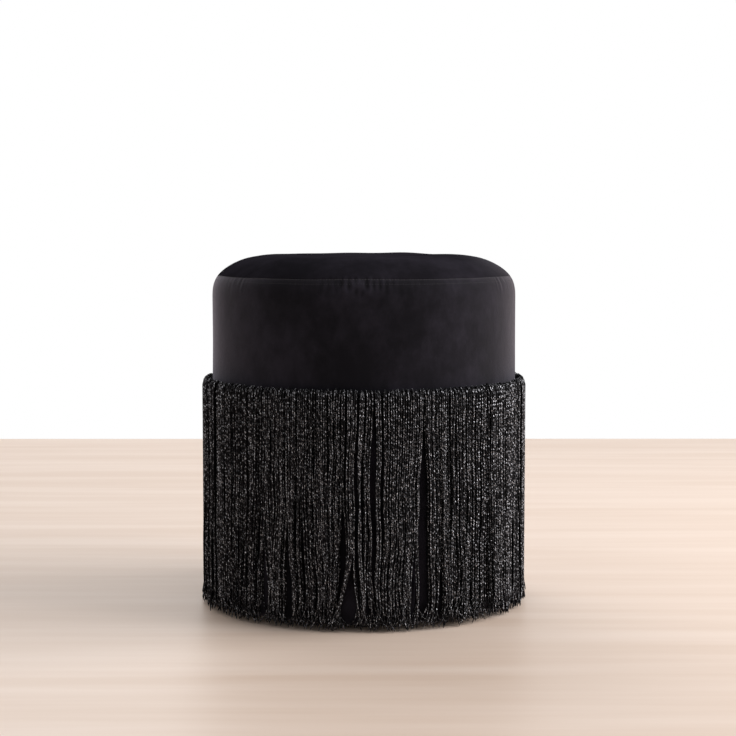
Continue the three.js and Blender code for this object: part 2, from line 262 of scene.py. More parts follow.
@dataclass(frozen=True)
class Grain:
    """Smooth noise, by its features to the metre, its octaves and how it is stretched."""

    scale: float
    octaves: float = 2.0
    octave_share: float = 0.5
    stretch: tuple[float, float, float] | None = None

    def read(self, tree: Tree, place: Value) -> Value:
        """Reads the noise.

        Args:
            tree: the tree that reads it.
            place: where it is read.

        Returns:
            A number about the middle of zero and one.
        """
        if self.stretch is not None:
            inputs = {0: place, 1: self.stretch}
            place = tree.value("ShaderNodeVectorMath", inputs, operation="MULTIPLY")
        inputs = {"Scale": self.scale, "Detail": self.octaves, "Roughness": self.octave_share}
        return tree.value("ShaderNodeTexNoise", {"Vector": place, **inputs}, output=0)


class SurfaceTree(Tree):
    """A material's tree, which knows the place on the piece."""

    @cached_property
    def place(self) -> Value:
        """The place, in metres."""
        return self.value("ShaderNodeTexCoord", output="Object")

    @cached_property
    def axes(self) -> tuple[Value, Value, Value]:
        """The place's X, Y and Z."""
        return self.parts(self.place)

    def grain(self, grain: Grain) -> Value:
        """Reads a noise at the place."""
        return grain.read(self, self.place)

    def chance(self, first: Source, second: Source, third: Source) -> Value:
        """Gives each set of three numbers its own random number from zero to one."""
        inputs = {"Vector": self.joined(first, second, third)}
        return self.value("ShaderNodeTexWhiteNoise", inputs, output="Value")


class SocketKind(Enum):
    """The kinds of input that a growing tree takes."""

    GEOMETRY = "NodeSocketGeometry"
    LENGTH = "NodeSocketFloat"
    COUNT = "NodeSocketInt"
    MATERIAL = "NodeSocketMaterial"


class GrowingTree(Tree):
    """A Geometry Nodes tree with named inputs that adds pieces to a mesh."""

    def __init__(self, name: str) -> None:
        """Makes a tree that takes the mesh so far and gives it back with more.

        Args:
            name: the tree's name.
        """
        super().__init__(bpy.data.node_groups.new(name, "GeometryNodeTree"))
        kind = SocketKind.GEOMETRY
        self.group.interface.new_socket("Mesh", in_out="OUTPUT", socket_type=kind.value)
        self.entry = self.group.nodes.new("NodeGroupInput")
        (self.mesh_so_far,) = self.takes(kind, "Mesh")

    def takes(self, kind: SocketKind, *names: str) -> list[Value]:
        """Adds named inputs of one kind.

        Args:
            kind: what the inputs hold.
            names: the inputs' names.

        Returns:
            The inputs.
        """
        taken = []
        for name in names:
            self.group.interface.new_socket(name, in_out="INPUT", socket_type=kind.value)
            taken.append(Value(self, self.entry.outputs[name]))
        return taken

    def store(
        self, geometry: Value, name: str, number: Value, kind: str = "FLOAT", domain: str = "POINT"
    ) -> Value:
        """Keeps a number on the geometry.

        Args:
            geometry: the points or mesh.
            name: the attribute's name.
            number: what is kept.
            kind: the attribute's type.
            domain: what each number belongs to.

        Returns:
            The geometry with the attribute.
        """
        inputs = {"Geometry": geometry, "Name": name, "Value": number}
        settings = {"data_type": kind, "domain": domain}
        return self.value("GeometryNodeStoreNamedAttribute", inputs, **settings)

    def stored(self, name: str, kind: str = "FLOAT") -> Value:
        """Reads a kept number by its attribute's name and type."""
        return self.value("GeometryNodeInputNamedAttribute", {"Name": name}, data_type=kind)

    def repeated(self, shape: Value, count: Value, name: str) -> Value:
        """Copies a shape and numbers the copies.

        Args:
            shape: the mesh to copy.
            count: how many copies.
            name: the attribute that holds each copy's number.

        Returns:
            The realised copies.
        """
        points = self.value("GeometryNodePoints", {"Count": count})
        points = self.store(points, name, self.value("GeometryNodeInputIndex"), "INT")
        inputs = {"Points": points, "Instance": shape}
        copies = self.value("GeometryNodeInstanceOnPoints", inputs)
        return self.value("GeometryNodeRealizeInstances", {"Geometry": copies})

    def chance(self, number: Value, seed: Source, salt: int) -> Value:
        """Gives each copy its own random number.

        Args:
            number: the copy's number.
            seed: the tree's seed.
            salt: which of the copy's random numbers this is.

        Returns:
            A number from minus one to one.
        """
        inputs = {"Min": -1.0, "Max": 1.0, "ID": number, "Seed": seed + salt}
        return self.value("FunctionNodeRandomValue", inputs, data_type="FLOAT")

    def give(self, geometry: Value, place: Value, material: Value) -> None:
        """Moves and dresses the new mesh, and adds it to the mesh so far.

        Args:
            geometry: the new mesh.
            place: where each of its points goes.
            material: its material.
        """
        mesh = self.value("GeometryNodeSetPosition", {"Geometry": geometry, "Position": place})
        mesh = self.value("GeometryNodeMergeByDistance", {"Geometry": mesh, "Distance": WELD_DISTANCE})
        mesh = self.value("GeometryNodeSetShadeSmooth", {0: mesh})
        mesh = self.value("GeometryNodeRealizeInstances", {"Geometry": mesh})
        mesh = self.value("GeometryNodeSetMaterial", {"Geometry": mesh, "Material": material})
        join = self.node("GeometryNodeJoinGeometry")
        for part in (self.mesh_so_far, mesh):
            self.group.links.new(part.socket, join.inputs[0])
        self.node("NodeGroupOutput", {"Mesh": Value(self, join.outputs[0])})


def grown(name: str, tree: GrowingTree, rows: list[dict[str, Source]]) -> bpy.types.Object:
    """Runs a growing tree and keeps the plain mesh that it gives.

    Args:
        name: the piece's name.
        tree: the tree.
        rows: the tree's inputs by name, once for each time that it runs.

    Returns:
        The piece, with no modifier on it.
    """
    bed = new_piece(name + "_bed", bpy.data.meshes.new(name + "_bed"))
    for row in rows:
        modifier = bed.modifiers.new("grow", "NODES")
        modifier.node_group = tree.group
        for item in tree.group.interface.items_tree:
            if item.in_out == "INPUT" and item.name in row:
                modifier[item.identifier] = row[item.name]
    graph = bpy.context.evaluated_depsgraph_get()
    mesh = bpy.data.meshes.new_from_object(bed.evaluated_get(graph), depsgraph=graph)
    bpy.data.objects.remove(bed)
    return new_piece(name, mesh)


# Meshes


@dataclass(frozen=True)
class Places:
    """Points by their radii, heights and turns round the axis."""

    radii: np.ndarray
    heights: np.ndarray
    turns: np.ndarray

    @classmethod
    def of(cls, mesh: bpy.types.Mesh) -> Places:
        """Reads the points of a mesh.

        Args:
            mesh: the mesh.

        Returns:
            The points, in the mesh's order.
        """
        found = np.empty(len(mesh.vertices) * AXES, np.float32)
        mesh.vertices.foreach_get("co", found)
        across, deep, high = found.reshape(-1, AXES).astype(float).T
        return cls(np.hypot(across, deep), high, np.arctan2(deep, across))

    def in_space(self) -> np.ndarray:
        """Works out each point's X, Y and Z."""
        across, deep = self.radii * np.cos(self.turns), self.radii * np.sin(self.turns)
        return np.stack([across, deep, self.heights], axis=-1)

    def lifted(self, outline: PaddedOutline, lift: np.ndarray) -> Places:
        """Moves the points off the padded face, each by its own lift."""
        out, up = outline.outward(self.radii, self.heights)
        return replace(self, radii=self.radii + out * lift, heights=self.heights + up * lift)


def new_piece(name: str, mesh: bpy.types.Mesh) -> bpy.types.Object:
    """Puts a mesh in the scene.

    Args:
        name: the piece's name.
        mesh: its mesh.

    Returns:
        The piece.
    """
    piece = bpy.data.objects.new(name, mesh)
    bpy.context.scene.collection.objects.link(piece)
    return piece


def meshed(
    name: str, places: Places, quads: list[np.ndarray], caps: list[list[int]]
) -> bpy.types.Mesh:
    """Makes a mesh from its points and faces.

    Args:
        name: the mesh's name.
        places: its points.
        quads: the first corners of the four-sided faces, then their second corners, and so on.
        caps: the corners of each other face.

    Returns:
        The mesh.
    """
    faces = np.stack(quads, axis=-1).reshape(-1, len(quads)).tolist() + caps
    mesh = bpy.data.meshes.new(name)
    mesh.from_pydata(places.in_space().reshape(-1, AXES).tolist(), [], faces)
    return mesh


def turned(
    name: str,
    section: Line,
    steps: int,
    shape: Shape | None = None,
    first_turn: float = 0.0,
    arc: float = FULL_TURN,
) -> bpy.types.Mesh:
    """Turns a closed section round the axis.

    Args:
        name: the mesh's name.
        section: radius and height of its corners, in order round it.
        steps: how many steps the arc is cut into.
        shape: moves the points, or None.
        first_turn: where the arc starts.
        arc: how far it goes.

    Returns:
        The mesh, closed and with its faces outwards.
    """
    is_ring = arc >= FULL_TURN
    columns = steps if is_ring else steps + 1
    turns = first_turn + arc * np.arange(columns) / steps
    radii, heights = (np.array(part, float)[:, None] for part in zip(*section))
    places = Places(*np.broadcast_arrays(radii, heights, turns[None, :]))
    if shape is not None:
        places = shape(places)
    corners = np.arange(len(section) * columns).reshape(len(section), columns)
    near = corners if is_ring else corners[:, :-1]
    far = np.roll(corners, -1, axis=1) if is_ring else corners[:, 1:]
    quads = [near, far, np.roll(far, -1, axis=0), np.roll(near, -1, axis=0)]
    caps = [] if is_ring else [corners[:, 0].tolist(), corners[::-1, -1].tolist()]
    mesh = meshed(name, places, quads, caps)
    tidy(mesh)
    return mesh


def tidy(mesh: bpy.types.Mesh) -> None:
    """Merges doubled points, points the faces outwards and smooths the shading.

    Args:
        mesh: the mesh to tidy.
    """
    work = bmesh.new()
    work.from_mesh(mesh)
    bmesh.ops.remove_doubles(work, verts=work.verts, dist=WELD_DISTANCE)
    bmesh.ops.recalc_face_normals(work, faces=work.faces)
    for face in work.faces:
        face.smooth = True
    work.to_mesh(mesh)
    work.free()


@dataclass(frozen=True)
class Ripples:
    """Seamless unevenness round the axis, from a spread of waves."""

    fewest: int
    most: int
    seed: int
    drift: float = 0.0

    def at(self, turns: np.ndarray, heights: np.ndarray | float = 0.0) -> np.ndarray:
        """Adds up the waves.

        Args:
            turns: where round the axis.
            heights: how high, which matters only where the waves drift.

        Returns:
            Numbers about zero, mostly between minus one and one.
        """
        random = np.random.default_rng(self.seed)
        counts = np.arange(self.fewest, self.most + 1)
        starts = random.uniform(0, FULL_TURN, counts.size)
        drifts = random.uniform(-self.drift, self.drift, counts.size)
        total = np.zeros(turns.shape)
        for count, start, drift in zip(counts, starts, drifts):
            total += np.cos(count * turns + start + drift * heights)
        return total / math.sqrt(counts.size)


def eased(numbers: np.ndarray, low: float, high: float) -> np.ndarray:
    """Rises smoothly from zero, at or below the low end, to one at the high end."""
    share = np.clip((numbers - low) / (high - low), 0, 1)
    return share * share * (3 - 2 * share)


def spline_weights(share: np.ndarray) -> tuple[np.ndarray, ...]:
    """Weighs four neighbours so that a smooth line runs through them.

    Args:
        share: how far each place is from the second neighbour to the third.

    Returns:
        The weights of the four neighbours.
    """
    return (
        ((2 - share) * share - 1) * share / 2,
        ((3 * share - 5) * share**2 + 2) / 2,
        ((4 - 3 * share) * share + 1) * share / 2,
        (share - 1) * share**2 / 2,
    )


def sampled(grid: np.ndarray, rows: np.ndarray, columns: np.ndarray) -> np.ndarray:
    """Reads a grid smoothly between its points.

    Args:
        grid: its numbers, in rows whose ends meet round the axis.
        rows: how many rows up each place is.
        columns: how many columns round each place is.

    Returns:
        The numbers at the places.
    """
    last_row = grid.shape[0] - 1
    row, column = np.floor(rows).astype(int), np.floor(columns).astype(int)
    total = np.zeros(rows.shape)
    for row_step, row_weight in enumerate(spline_weights(rows - row), -1):
        near_row = np.clip(row + row_step, 0, last_row)
        for column_step, column_weight in enumerate(spline_weights(columns - column), -1):
            near_column = (column + column_step) % grid.shape[1]
            total += row_weight * column_weight * grid[near_row, near_column]
    return total


@dataclass(frozen=True)
class PaddedOutline:
    """The outline that every soft layer of the body follows, at its own inset."""

    body_radius: float = 0.175
    seat_height: float = 0.400
    crown_radius: float = 0.060
    shoulder_drop: float = 0.050
    shoulder_power: float = 3.0
    seam_turn: float = math.radians(23.6)
    cover_foot: float = 0.0062
    foot_round: float = 0.005

    @property
    def shoulder_foot(self) -> float:
        """The height at which the shoulder starts to round over."""
        return self.seat_height - self.shoulder_drop

    def shoulder_point(self, turn: float, inset: float) -> tuple[float, float]:
        """Finds a point of the shoulder.

        Args:
            turn: zero at the shoulder's foot and a quarter turn at the crown.
            inset: how far inside the velvet's face it is.

        Returns:
            Its radius and height.
        """
        power = 2 / self.shoulder_power
        across = max(0.0, math.cos(turn)) ** power
        up = max(0.0, math.sin(turn)) ** power
        width = self.body_radius - self.crown_radius - inset
        drop = self.shoulder_drop - inset
        return self.crown_radius + width * across, self.shoulder_foot + drop * up

    def shoulder_line(self, from_turn: float, to_turn: float, steps: int, inset: float) -> Line:
        """Finds points along the shoulder, by the turns of the first one and the last one."""
        turns = (from_turn + (to_turn - from_turn) * step / steps for step in range(steps + 1))
        return [self.shoulder_point(turn, inset) for turn in turns]

    def foot_line(self, steps: int, inset: float, foot: float) -> Line:
        """Finds the rounded lower corner, from the underside out to the side.

        Args:
            steps: how many steps it has.
            inset: how far inside the velvet's face it is.
            foot: the height of the layer's underside.

        Returns:
            The points' radii and heights.
        """
        reach = self.foot_round - inset
        middle_radius, middle_height = self.body_radius - self.foot_round, foot + reach
        turns = [-QUARTER_TURN + QUARTER_TURN * step / steps for step in range(steps + 1)]
        return [
            (middle_radius + reach * math.cos(turn), middle_height + reach * math.sin(turn))
            for turn in turns
        ]

    def outward(self, radii: np.ndarray, heights: np.ndarray) -> tuple[np.ndarray, np.ndarray]:
        """Finds which way the padded face looks.

        Args:
            radii: the points' radii.
            heights: the points' heights.

        Returns:
            The radial and upright shares of the outward direction.
        """
        slope = self.shoulder_power - 1
        width = self.body_radius - self.crown_radius
        across = np.clip((radii - self.crown_radius) / width, 0, None) ** slope / width
        up = np.clip((heights - self.shoulder_foot) / self.shoulder_drop, 0, None) ** slope
        up = up / self.shoulder_drop
        length = np.maximum(np.hypot(across, up), np.finfo(float).eps)
        return across / length, up / length


# Finishes


@dataclass(frozen=True)
class Look:
    """What changes over a surface: its share of the light colour, its dullness and its height."""

    tone: Value
    dulling: Value | None = None
    height: Value | None = None


@dataclass(frozen=True)
class Finish:
    """A material's name, its two colours and the numbers that scale what changes over it."""

    name: str
    shade: Colour
    light: Colour
    roughness: float = 0.8
    roughness_spread: float = 0.0
    specular: float = 0.3
    metallic: float = 0.0
    sheen_share: float = 0.0
    sheen_roughness: float = 0.4
    sheen_tint: Colour = (1.0, 1.0, 1.0, 1)
    relief: float = 0.0

    def material(self) -> bpy.types.Material:
        """Makes the material.

        Returns:
            The new material.
        """
        material = bpy.data.materials.new(self.name)
        material.use_nodes = True
        tree = SurfaceTree(material.node_tree)
        tree.node("ShaderNodeOutputMaterial", {"Surface": self.surface(tree)})
        return material

    def surface(self, tree: SurfaceTree) -> Value:
        """Builds the shader.

        Args:
            tree: the material's tree.

        Returns:
            The shader's output.
        """
        inputs = {
            "Roughness": self.roughness,
            "Specular IOR Level": self.specular,
            "Metallic": self.metallic,
            "Sheen Weight": self.sheen_share,
            "Sheen Roughness": self.sheen_roughness,
            "Sheen Tint": self.sheen_tint,
        }
        return tree.value("ShaderNodeBsdfPrincipled", inputs | self.varying(tree))

    def varying(self, tree: SurfaceTree) -> dict[str, Value]:
        """Links what changes over the surface.

        Args:
            tree: the material's tree.

        Returns:
            A link for each of the shader's sockets that varies.
        """
        look = self.look(tree)
        links = {"Base Color": tree.blend(look.tone, self.shade, self.light)}
        if look.dulling is not None:
            links["Roughness"] = self.roughness + self.roughness_spread * look.dulling
        if look.height is not None:
            links["Normal"] = tree.bump(look.height, self.relief)
        return links

    def look(self, tree: SurfaceTree) -> Look:
        """Builds what changes over the surface."""
        raise NotImplementedError


@dataclass(frozen=True)
class Velvet(Finish):
    """Short black pile with cloudy nap, brushed mostly downwards."""

    name: str = "black_velvet"
    shade: Colour = (0.0057, 0.0052, 0.0070, 1)
    light: Colour = (0.0204, 0.0180, 0.0252, 1)
    roughness: float = 0.86
    roughness_spread: float = 0.12
    specular: float = 0.06
    sheen_share: float = 0.44
    sheen_roughness: float = 0.39
    sheen_tint: Colour = (0.92, 0.87, 1.0, 1)
    clouds: Grain = Grain(11.0, stretch=(1.0, 1.0, 0.8))
    cloud_share: float = 0.7
    mottling: Grain = Grain(70.0, octaves=3.0, octave_share=0.6, stretch=(1.0, 1.0, 0.75))
    mottling_share: float = 0.36
    pleat_shade_and_light_share: float = 0.28
    nap_tones: Span = (0.34, 0.70)
    relief: float = 0.0008
    pile: Grain = Grain(1700.0, octaves=1.0)
    pile_height: float = 0.00012

    def look(self, tree: SurfaceTree) -> Look:
        """Builds clouds and mottling in the nap, with painted shade in the pleats' hollows and painted
        light on their ridges.

        Args:
            tree: the material's tree.

        Returns:
            What changes over the velvet.
        """
        clouds, mottling = tree.grain(self.clouds), tree.grain(self.mottling)
        nap = MIDDLE + (clouds - MIDDLE) * self.cloud_share
        nap = nap + (mottling - MIDDLE) * self.mottling_share
        # Painted shade and light: the nap's tone darkens in the pleats' hollows and lightens on their
        # ridges; the same nap also raises the bump.
        pleats = tree.value("ShaderNodeAttribute", output="Fac", attribute_name=PLEAT_MAP)
        nap = nap + pleats * self.pleat_shade_and_light_share
        return Look(nap.eased(*self.nap_tones), tree.grain(self.pile), nap)

    def varying(self, tree: SurfaceTree) -> dict[str, Value]:
        """Lays a fine pile over the nap."""
        links, pile = super().varying(tree), tree.grain(self.pile)
        return links | {"Normal": tree.bump(pile, self.pile_height, Normal=links["Normal"])}


@dataclass(frozen=True)
class ShadedTopVelvet(Velvet):
    """Velvet with no sheen over the top panel, a painted shade, mixed towards the +X side of its rim
    with full velvet, a painted light on that side.
    """

    name: str = "black_velvet_painted_shade"
    shade: Colour = (0.0118, 0.0107, 0.0134, 1)
    light: Colour = (0.0232, 0.0206, 0.0270, 1)
    specular: float = 0.0
    sheen_share: float = 0.0
    relief: float = 0.0005
    lit_rim_velvet: Velvet = Velvet()
    painted_light_rim: Span = (0.100, 0.170)
    painted_light_rim_share: float = 0.30

    def surface(self, tree: SurfaceTree) -> Value:
        """Mixes the painted-shade velvet with the full velvet, which shows as painted light towards the
        +X rim.

        Args:
            tree: the material's tree.

        Returns:
            The mixed shader's output.
        """
        # Painted light: the full velvet, with its sheen, shows only towards the +X side of the rim.
        painted_light_rim = tree.axes[0].eased(*self.painted_light_rim) * self.painted_light_rim_share
        inputs = {0: painted_light_rim, 1: super().surface(tree), 2: self.lit_rim_velvet.surface(tree)}
        return tree.value("ShaderNodeMixShader", inputs)


@dataclass(frozen=True)
class TwistedCord(Finish):
    """Two plies of black yarn twisted together, each with a broken silver thread.

    The strands share columns of one map: across a column goes round the strand, and up it goes along.
    """

    name: str = "black_and_silver_cord"
    shade: Colour = (0.0036, 0.0034, 0.0038, 1)
    light: Colour = (0.0175, 0.0163, 0.0182, 1)
    roughness: float = 0.7
    specular: float = 0.06
    relief: float = 0.0005
    columns: int = 64
    column_margin: float = 0.02
    map_length: float = 0.275
    plies: int = 2
    twist_length: float = 0.0085
    # Painted shade: the colour that each strand's sides are blended towards, where neighbouring strands
    # would shut out the light, and the span of that blend.
    painted_side_shade: Colour = (0.0012, 0.0011, 0.0013, 1)
    painted_shade_span: Span = (0.20, 0.95)
    fibres: Grain = Grain(260.0)
    fibre_tones: Span = (0.35, 0.7)
    fibre_column_step: float = 3.7
    fibre_ply_width: float = 0.02
    fibre_wind_length: float = 0.004
    fibre_height_share: float = 0.15
    silver: Colour = (0.82, 0.82, 0.87, 1)
    silver_dull: Colour = (0.118, 0.116, 0.125, 1)
    silver_metallic: float = 0.4
    silver_roughness: float = 0.40
    silver_strips: int = 8
    silver_slant: float = 0.0034
    silver_run: float = 0.0025
    silver_run_shift: float = 5.0
    silver_fade: Span = (0.05, 0.3)
    silver_missing_share: float = 0.52
    silver_missing_spread_share: float = 0.30

    def varying(self, tree: SurfaceTree) -> dict[str, Value]:
        """Builds the plies and their silver thread, wound round the strand, with painted shade on the
        strand's sides.

        Args:
            tree: the material's tree.

        Returns:
            A link for each of the shader's sockets that varies.
        """
        across, up, _ = tree.parts(tree.value("ShaderNodeUVMap", uv_map=BAKE_MAP))
        column = (across * self.columns).whole()
        around = (across * self.columns).fraction() - self.column_margin
        around = around / (1 - 2 * self.column_margin)
        length = up * self.map_length
        wound = (around + length / self.twist_length) * self.plies
        over_ply = wound.fraction()
        fibres = self.fibres.read(
            tree,
            tree.joined(
                column * self.fibre_column_step,
                over_ply * self.fibre_ply_width,
                wound * self.fibre_wind_length + length,
            ),
        )
        yarn = tree.blend(fibres.eased(*self.fibre_tones), self.shade, self.light)
        # Painted shade on each strand's sides, which also hides the silver there.
        outside_painted_shade = (around * FULL_TURN - QUARTER_TURN).sine().eased(*self.painted_shade_span)
        shown, brightness = self.glints(tree, column, around, length)
        silver = shown * outside_painted_shade
        thread = tree.blend(brightness * brightness, self.silver_dull, self.silver)
        belly = (over_ply * HALF_TURN).sine()
        return {
            "Base Color": tree.blend(outside_painted_shade, self.painted_side_shade, tree.blend(silver, yarn, thread)),
            "Metallic": silver * self.silver_metallic,
            "Roughness": self.roughness + silver * (self.silver_roughness - self.roughness),
            "Normal": tree.bump(belly + self.fibre_height_share * fibres, self.relief),
        }

    def glints(
        self, tree: SurfaceTree, column: Value, around: Value, length: Value
    ) -> tuple[Value, Value]:
        """Breaks the silver thread up in short runs, of which many are missing.

        Args:
            tree: the material's tree.
            column: the strand's column.
            around: how far round the strand the place is.
            length: how far along the strand it is.

        Returns:
            How much silver shows, and how bright it is.
        """
        slanted = around * self.silver_strips + length / self.silver_slant
        strip = slanted.whole()
        shift = tree.chance(column, strip, MIDDLE) * self.silver_run_shift
        run = length / self.silver_run + shift
        glint = tree.chance(column, strip, run.whole())
        spread = tree.chance(column, MIDDLE, MIDDLE) - MIDDLE
        missing = spread * self.silver_missing_spread_share + self.silver_missing_share
        shown = (glint > missing) * self.faded(slanted.fraction()) * self.faded(run.fraction())
        return shown, ((glint - missing) / (1 - missing)).within_one()

    def faded(self, share: Value) -> Value:
        """Keeps the middle of a span and fades towards both of its ends."""
        start, full = self.silver_fade
        return share.eased(start, full) * (1 - share.eased(1 - full, 1 - start))


@dataclass(frozen=True)
class WovenTape(Finish):
    """Narrow black ribbed tape that the strands are woven into."""

    name: str = "black_tape"
    shade: Colour = (0.008, 0.0075, 0.0085, 1)
    light: Colour = (0.030, 0.028, 0.031, 1)
    roughness: float = 0.75
    specular: float = 0.12
    relief: float = 0.0002
    rib_pitch: float = 0.0011
    threads: Grain = Grain(900.0, stretch=(1.0, 1.0, 0.2))

    def look(self, tree: SurfaceTree) -> Look:
        """Builds level ribs, crossed by uneven threads."""
        ribs, threads = tree.axes[-1].wave(self.rib_pitch).raised(), tree.grain(self.threads)
        return Look(ribs * threads, height=ribs + threads)


@dataclass(frozen=True)
class SewingThread(Finish):
    """Sewing thread, charcoal unless its colours say otherwise."""

    name: str = "charcoal_thread"
    shade: Colour = (0.020, 0.019, 0.021, 1)
    light: Colour = (0.110, 0.104, 0.116, 1)
    roughness: float = 0.45
    roughness_spread: float = 0.2
    specular: float = 0.2
    strands: Grain = Grain(1500.0)

    def look(self, tree: SurfaceTree) -> Look:
        """Builds fine strands."""
        strands = tree.grain(self.strands)
        return Look(strands, strands)


@dataclass(frozen=True)
class Wadding(Finish):
    """White polyester wadding, with clumped fibres."""

    name: str = "white_wadding"
    shade: Colour = (0.72, 0.71, 0.68, 1)
    light: Colour = (0.92, 0.91, 0.88, 1)
    roughness: float = 0.95
    specular: float = 0.1
    sheen_share: float = 0.2
    relief: float = 0.0012
    clumps: Grain = Grain(85.0, octaves=4.0, octave_share=0.6)
    clump_tones: Span = (0.3, 0.7)
    fibres: Grain = Grain(900.0, stretch=(1.0, 0.3, 1.0))
    fibre_share: float = 0.3

    def look(self, tree: SurfaceTree) -> Look:
        """Builds clumps, with fibres over them."""
        clumps, fibres = tree.grain(self.clumps), tree.grain(self.fibres) * self.fibre_share
        return Look(clumps.eased(*self.clump_tones), height=clumps + fibres)


@dataclass(frozen=True)
class Foam(Finish):
    """Cream upholstery foam, with small open cells."""

    name: str = "cream_foam"
    shade: Colour = (0.62, 0.54, 0.33, 1)
    light: Colour = (0.84, 0.77, 0.55, 1)
    roughness: float = 0.9
    specular: float = 0.15
    relief: float = 0.0004
    cell_scale: float = 850.0
    cell_share: float = 0.8
    stains: Grain = Grain(9.0)
    stain_share: float = 0.5

    def look(self, tree: SurfaceTree) -> Look:
        """Builds cells, over slow changes of tone.

        Args:
            tree: the material's tree.

        Returns:
            What changes over the foam.
        """
        inputs = {"Vector": tree.place, "Scale": self.cell_scale}
        cells = tree.value("ShaderNodeTexVoronoi", inputs, output="Distance")
        tone = cells * self.cell_share + tree.grain(self.stains) * self.stain_share
        return Look(tone.within_one(), height=cells)


@dataclass(frozen=True)
class Hardboard(Finish):
    """Brown pressed board, smooth with fine flecks."""

    name: str = "brown_hardboard"
    shade: Colour = (0.115, 0.058, 0.026, 1)
    light: Colour = (0.235, 0.130, 0.062, 1)
    roughness: float = 0.5
    roughness_spread: float = 0.25
    relief: float = 0.00012
    flecks: Grain = Grain(420.0, octaves=4.0, octave_share=0.65)
    patches: Grain = Grain(18.0)
    tones: Span = (0.8, 1.2)

    def look(self, tree: SurfaceTree) -> Look:
        """Builds pressed fibres, in patches."""
        flecks, patches = tree.grain(self.flecks), tree.grain(self.patches)
        return Look((flecks + patches).eased(*self.tones), flecks, flecks)


@dataclass(frozen=True)
class Plywood(Finish):
    """Birch plywood, with grain on its faces and plies along its edge."""

    name: str = "birch_plywood"
    shade: Colour = (0.46, 0.285, 0.125, 1)
    light: Colour = (0.70, 0.50, 0.275, 1)
    roughness: float = 0.48
    roughness_spread: float = 0.2
    relief: float = 0.00015
    plies: int = 2
    ply_thickness: float = 0.0015
    ply_contrast_share: float = 0.35
    grain: Grain = Grain(9.0, octaves=5.0, octave_share=0.6, stretch=(1.0, 14.0, 14.0))
    tones: Span = (0.0, 0.6)

    def look(self, tree: SurfaceTree) -> Look:
        """Builds long grain, and plies that change with the height.

        Args:
            tree: the material's tree.

        Returns:
            What changes over the board.
        """
        grain = tree.grain(self.grain)
        crosswise = (tree.axes[-1] / self.ply_thickness).whole() % self.plies
        tone = (grain - crosswise * self.ply_contrast_share).eased(*self.tones)
        return Look(tone, grain, grain)


@dataclass(frozen=True)
class Pine(Finish):
    """Planed pine, with its grain along the strut, from early wood to late wood."""

    name: str = "planed_pine"
    shade: Colour = (0.74, 0.52, 0.285, 1)
    light: Colour = (0.50, 0.270, 0.105, 1)
    roughness: float = 0.42
    roughness_spread: float = 0.2
    relief: float = 0.0002
    ring_pitch: float = 0.0042
    ring_slant: float = 0.6
    ring_wander: float = 0.0060161
    wander: Grain = Grain(38.0, octaves=3.0, stretch=(1.0, 1.0, 0.06))
    late_power: float = 2.5
    late_share: float = 0.8
    fibres: Grain = Grain(700.0, stretch=(1.0, 1.0, 0.03))
    fibre_share: float = 0.15
    fibre_height_share: float = 0.4

    def look(self, tree: SurfaceTree) -> Look:
        """Builds year rings that wander along the strut.

        Args:
            tree: the material's tree.

        Returns:
            What changes over the strut.
        """
        across, deep, _ = tree.axes
        fibres = tree.grain(self.fibres)
        rings = across + self.ring_slant * deep + tree.grain(self.wander) * self.ring_wander
        late = rings.wave(self.ring_pitch).raised() ** self.late_power
        tone = late * self.late_share + fibres * self.fibre_share
        return Look(tone, fibres, late + self.fibre_height_share * fibres)


@dataclass(frozen=True)
class DustCloth(Finish):
    """Black spun cloth, pressed in small dots."""

    name: str = "black_dust_cloth"
    shade: Colour = (0.007, 0.007, 0.0075, 1)
    light: Colour = (0.026, 0.026, 0.028, 1)
    roughness: float = 0.9
    roughness_spread: float = -0.35
    specular: float = 0.2
    relief: float = 0.00015
    dot_pitch: float = 0.0022
    dot_edges: Span = (0.3, 0.7)
    dot_shade_share: float = 0.6
    fibres: Grain = Grain(1300.0, octaves=3.0)

    def look(self, tree: SurfaceTree) -> Look:
        """Builds pressed dots among tangled fibres.

        Args:
            tree: the material's tree.

        Returns:
            What changes over the cloth.
        """
        across, deep, _ = tree.axes
        dots = (across.wave(self.dot_pitch) * deep.wave(self.dot_pitch)).eased(*self.dot_edges)
        fibres = tree.grain(self.fibres)
        tone = fibres * (1 - self.dot_shade_share * dots)
        return Look(tone, dots, fibres - dots)


@dataclass(frozen=True)
class GlidePlastic(Finish):
    """Black moulded plastic, scuffed where it meets the floor."""

    name: str = "black_plastic"
    shade: Colour = (0.008, 0.008, 0.008, 1)
    light: Colour = (0.060, 0.058, 0.055, 1)
    roughness: float = 0.36
    roughness_spread: float = 0.25
    specular: float = 0.4
    relief: float = 0.00005
    moulding: Grain = Grain(1100.0)
    moulding_share: float = 0.32
    scuff_height: float = 0.0012
    scratches: Grain = Grain(600.0, octaves=4.0, stretch=(1.0, 0.1, 1.0))
    scratch_edges: Span = (0.35, 0.6)

    def look(self, tree: SurfaceTree) -> Look:
        """Builds a fine moulded grain, worn at the foot.

        Args:
            tree: the material's tree.

        Returns:
            What changes over the glide.
        """
        moulding = tree.grain(self.moulding)
        worn = tree.grain(self.scratches).eased(*self.scratch_edges)
        worn = (1 - tree.axes[-1].eased(0.0, self.scuff_height)) * worn
        return Look(worn, worn + self.moulding_share * moulding, moulding)


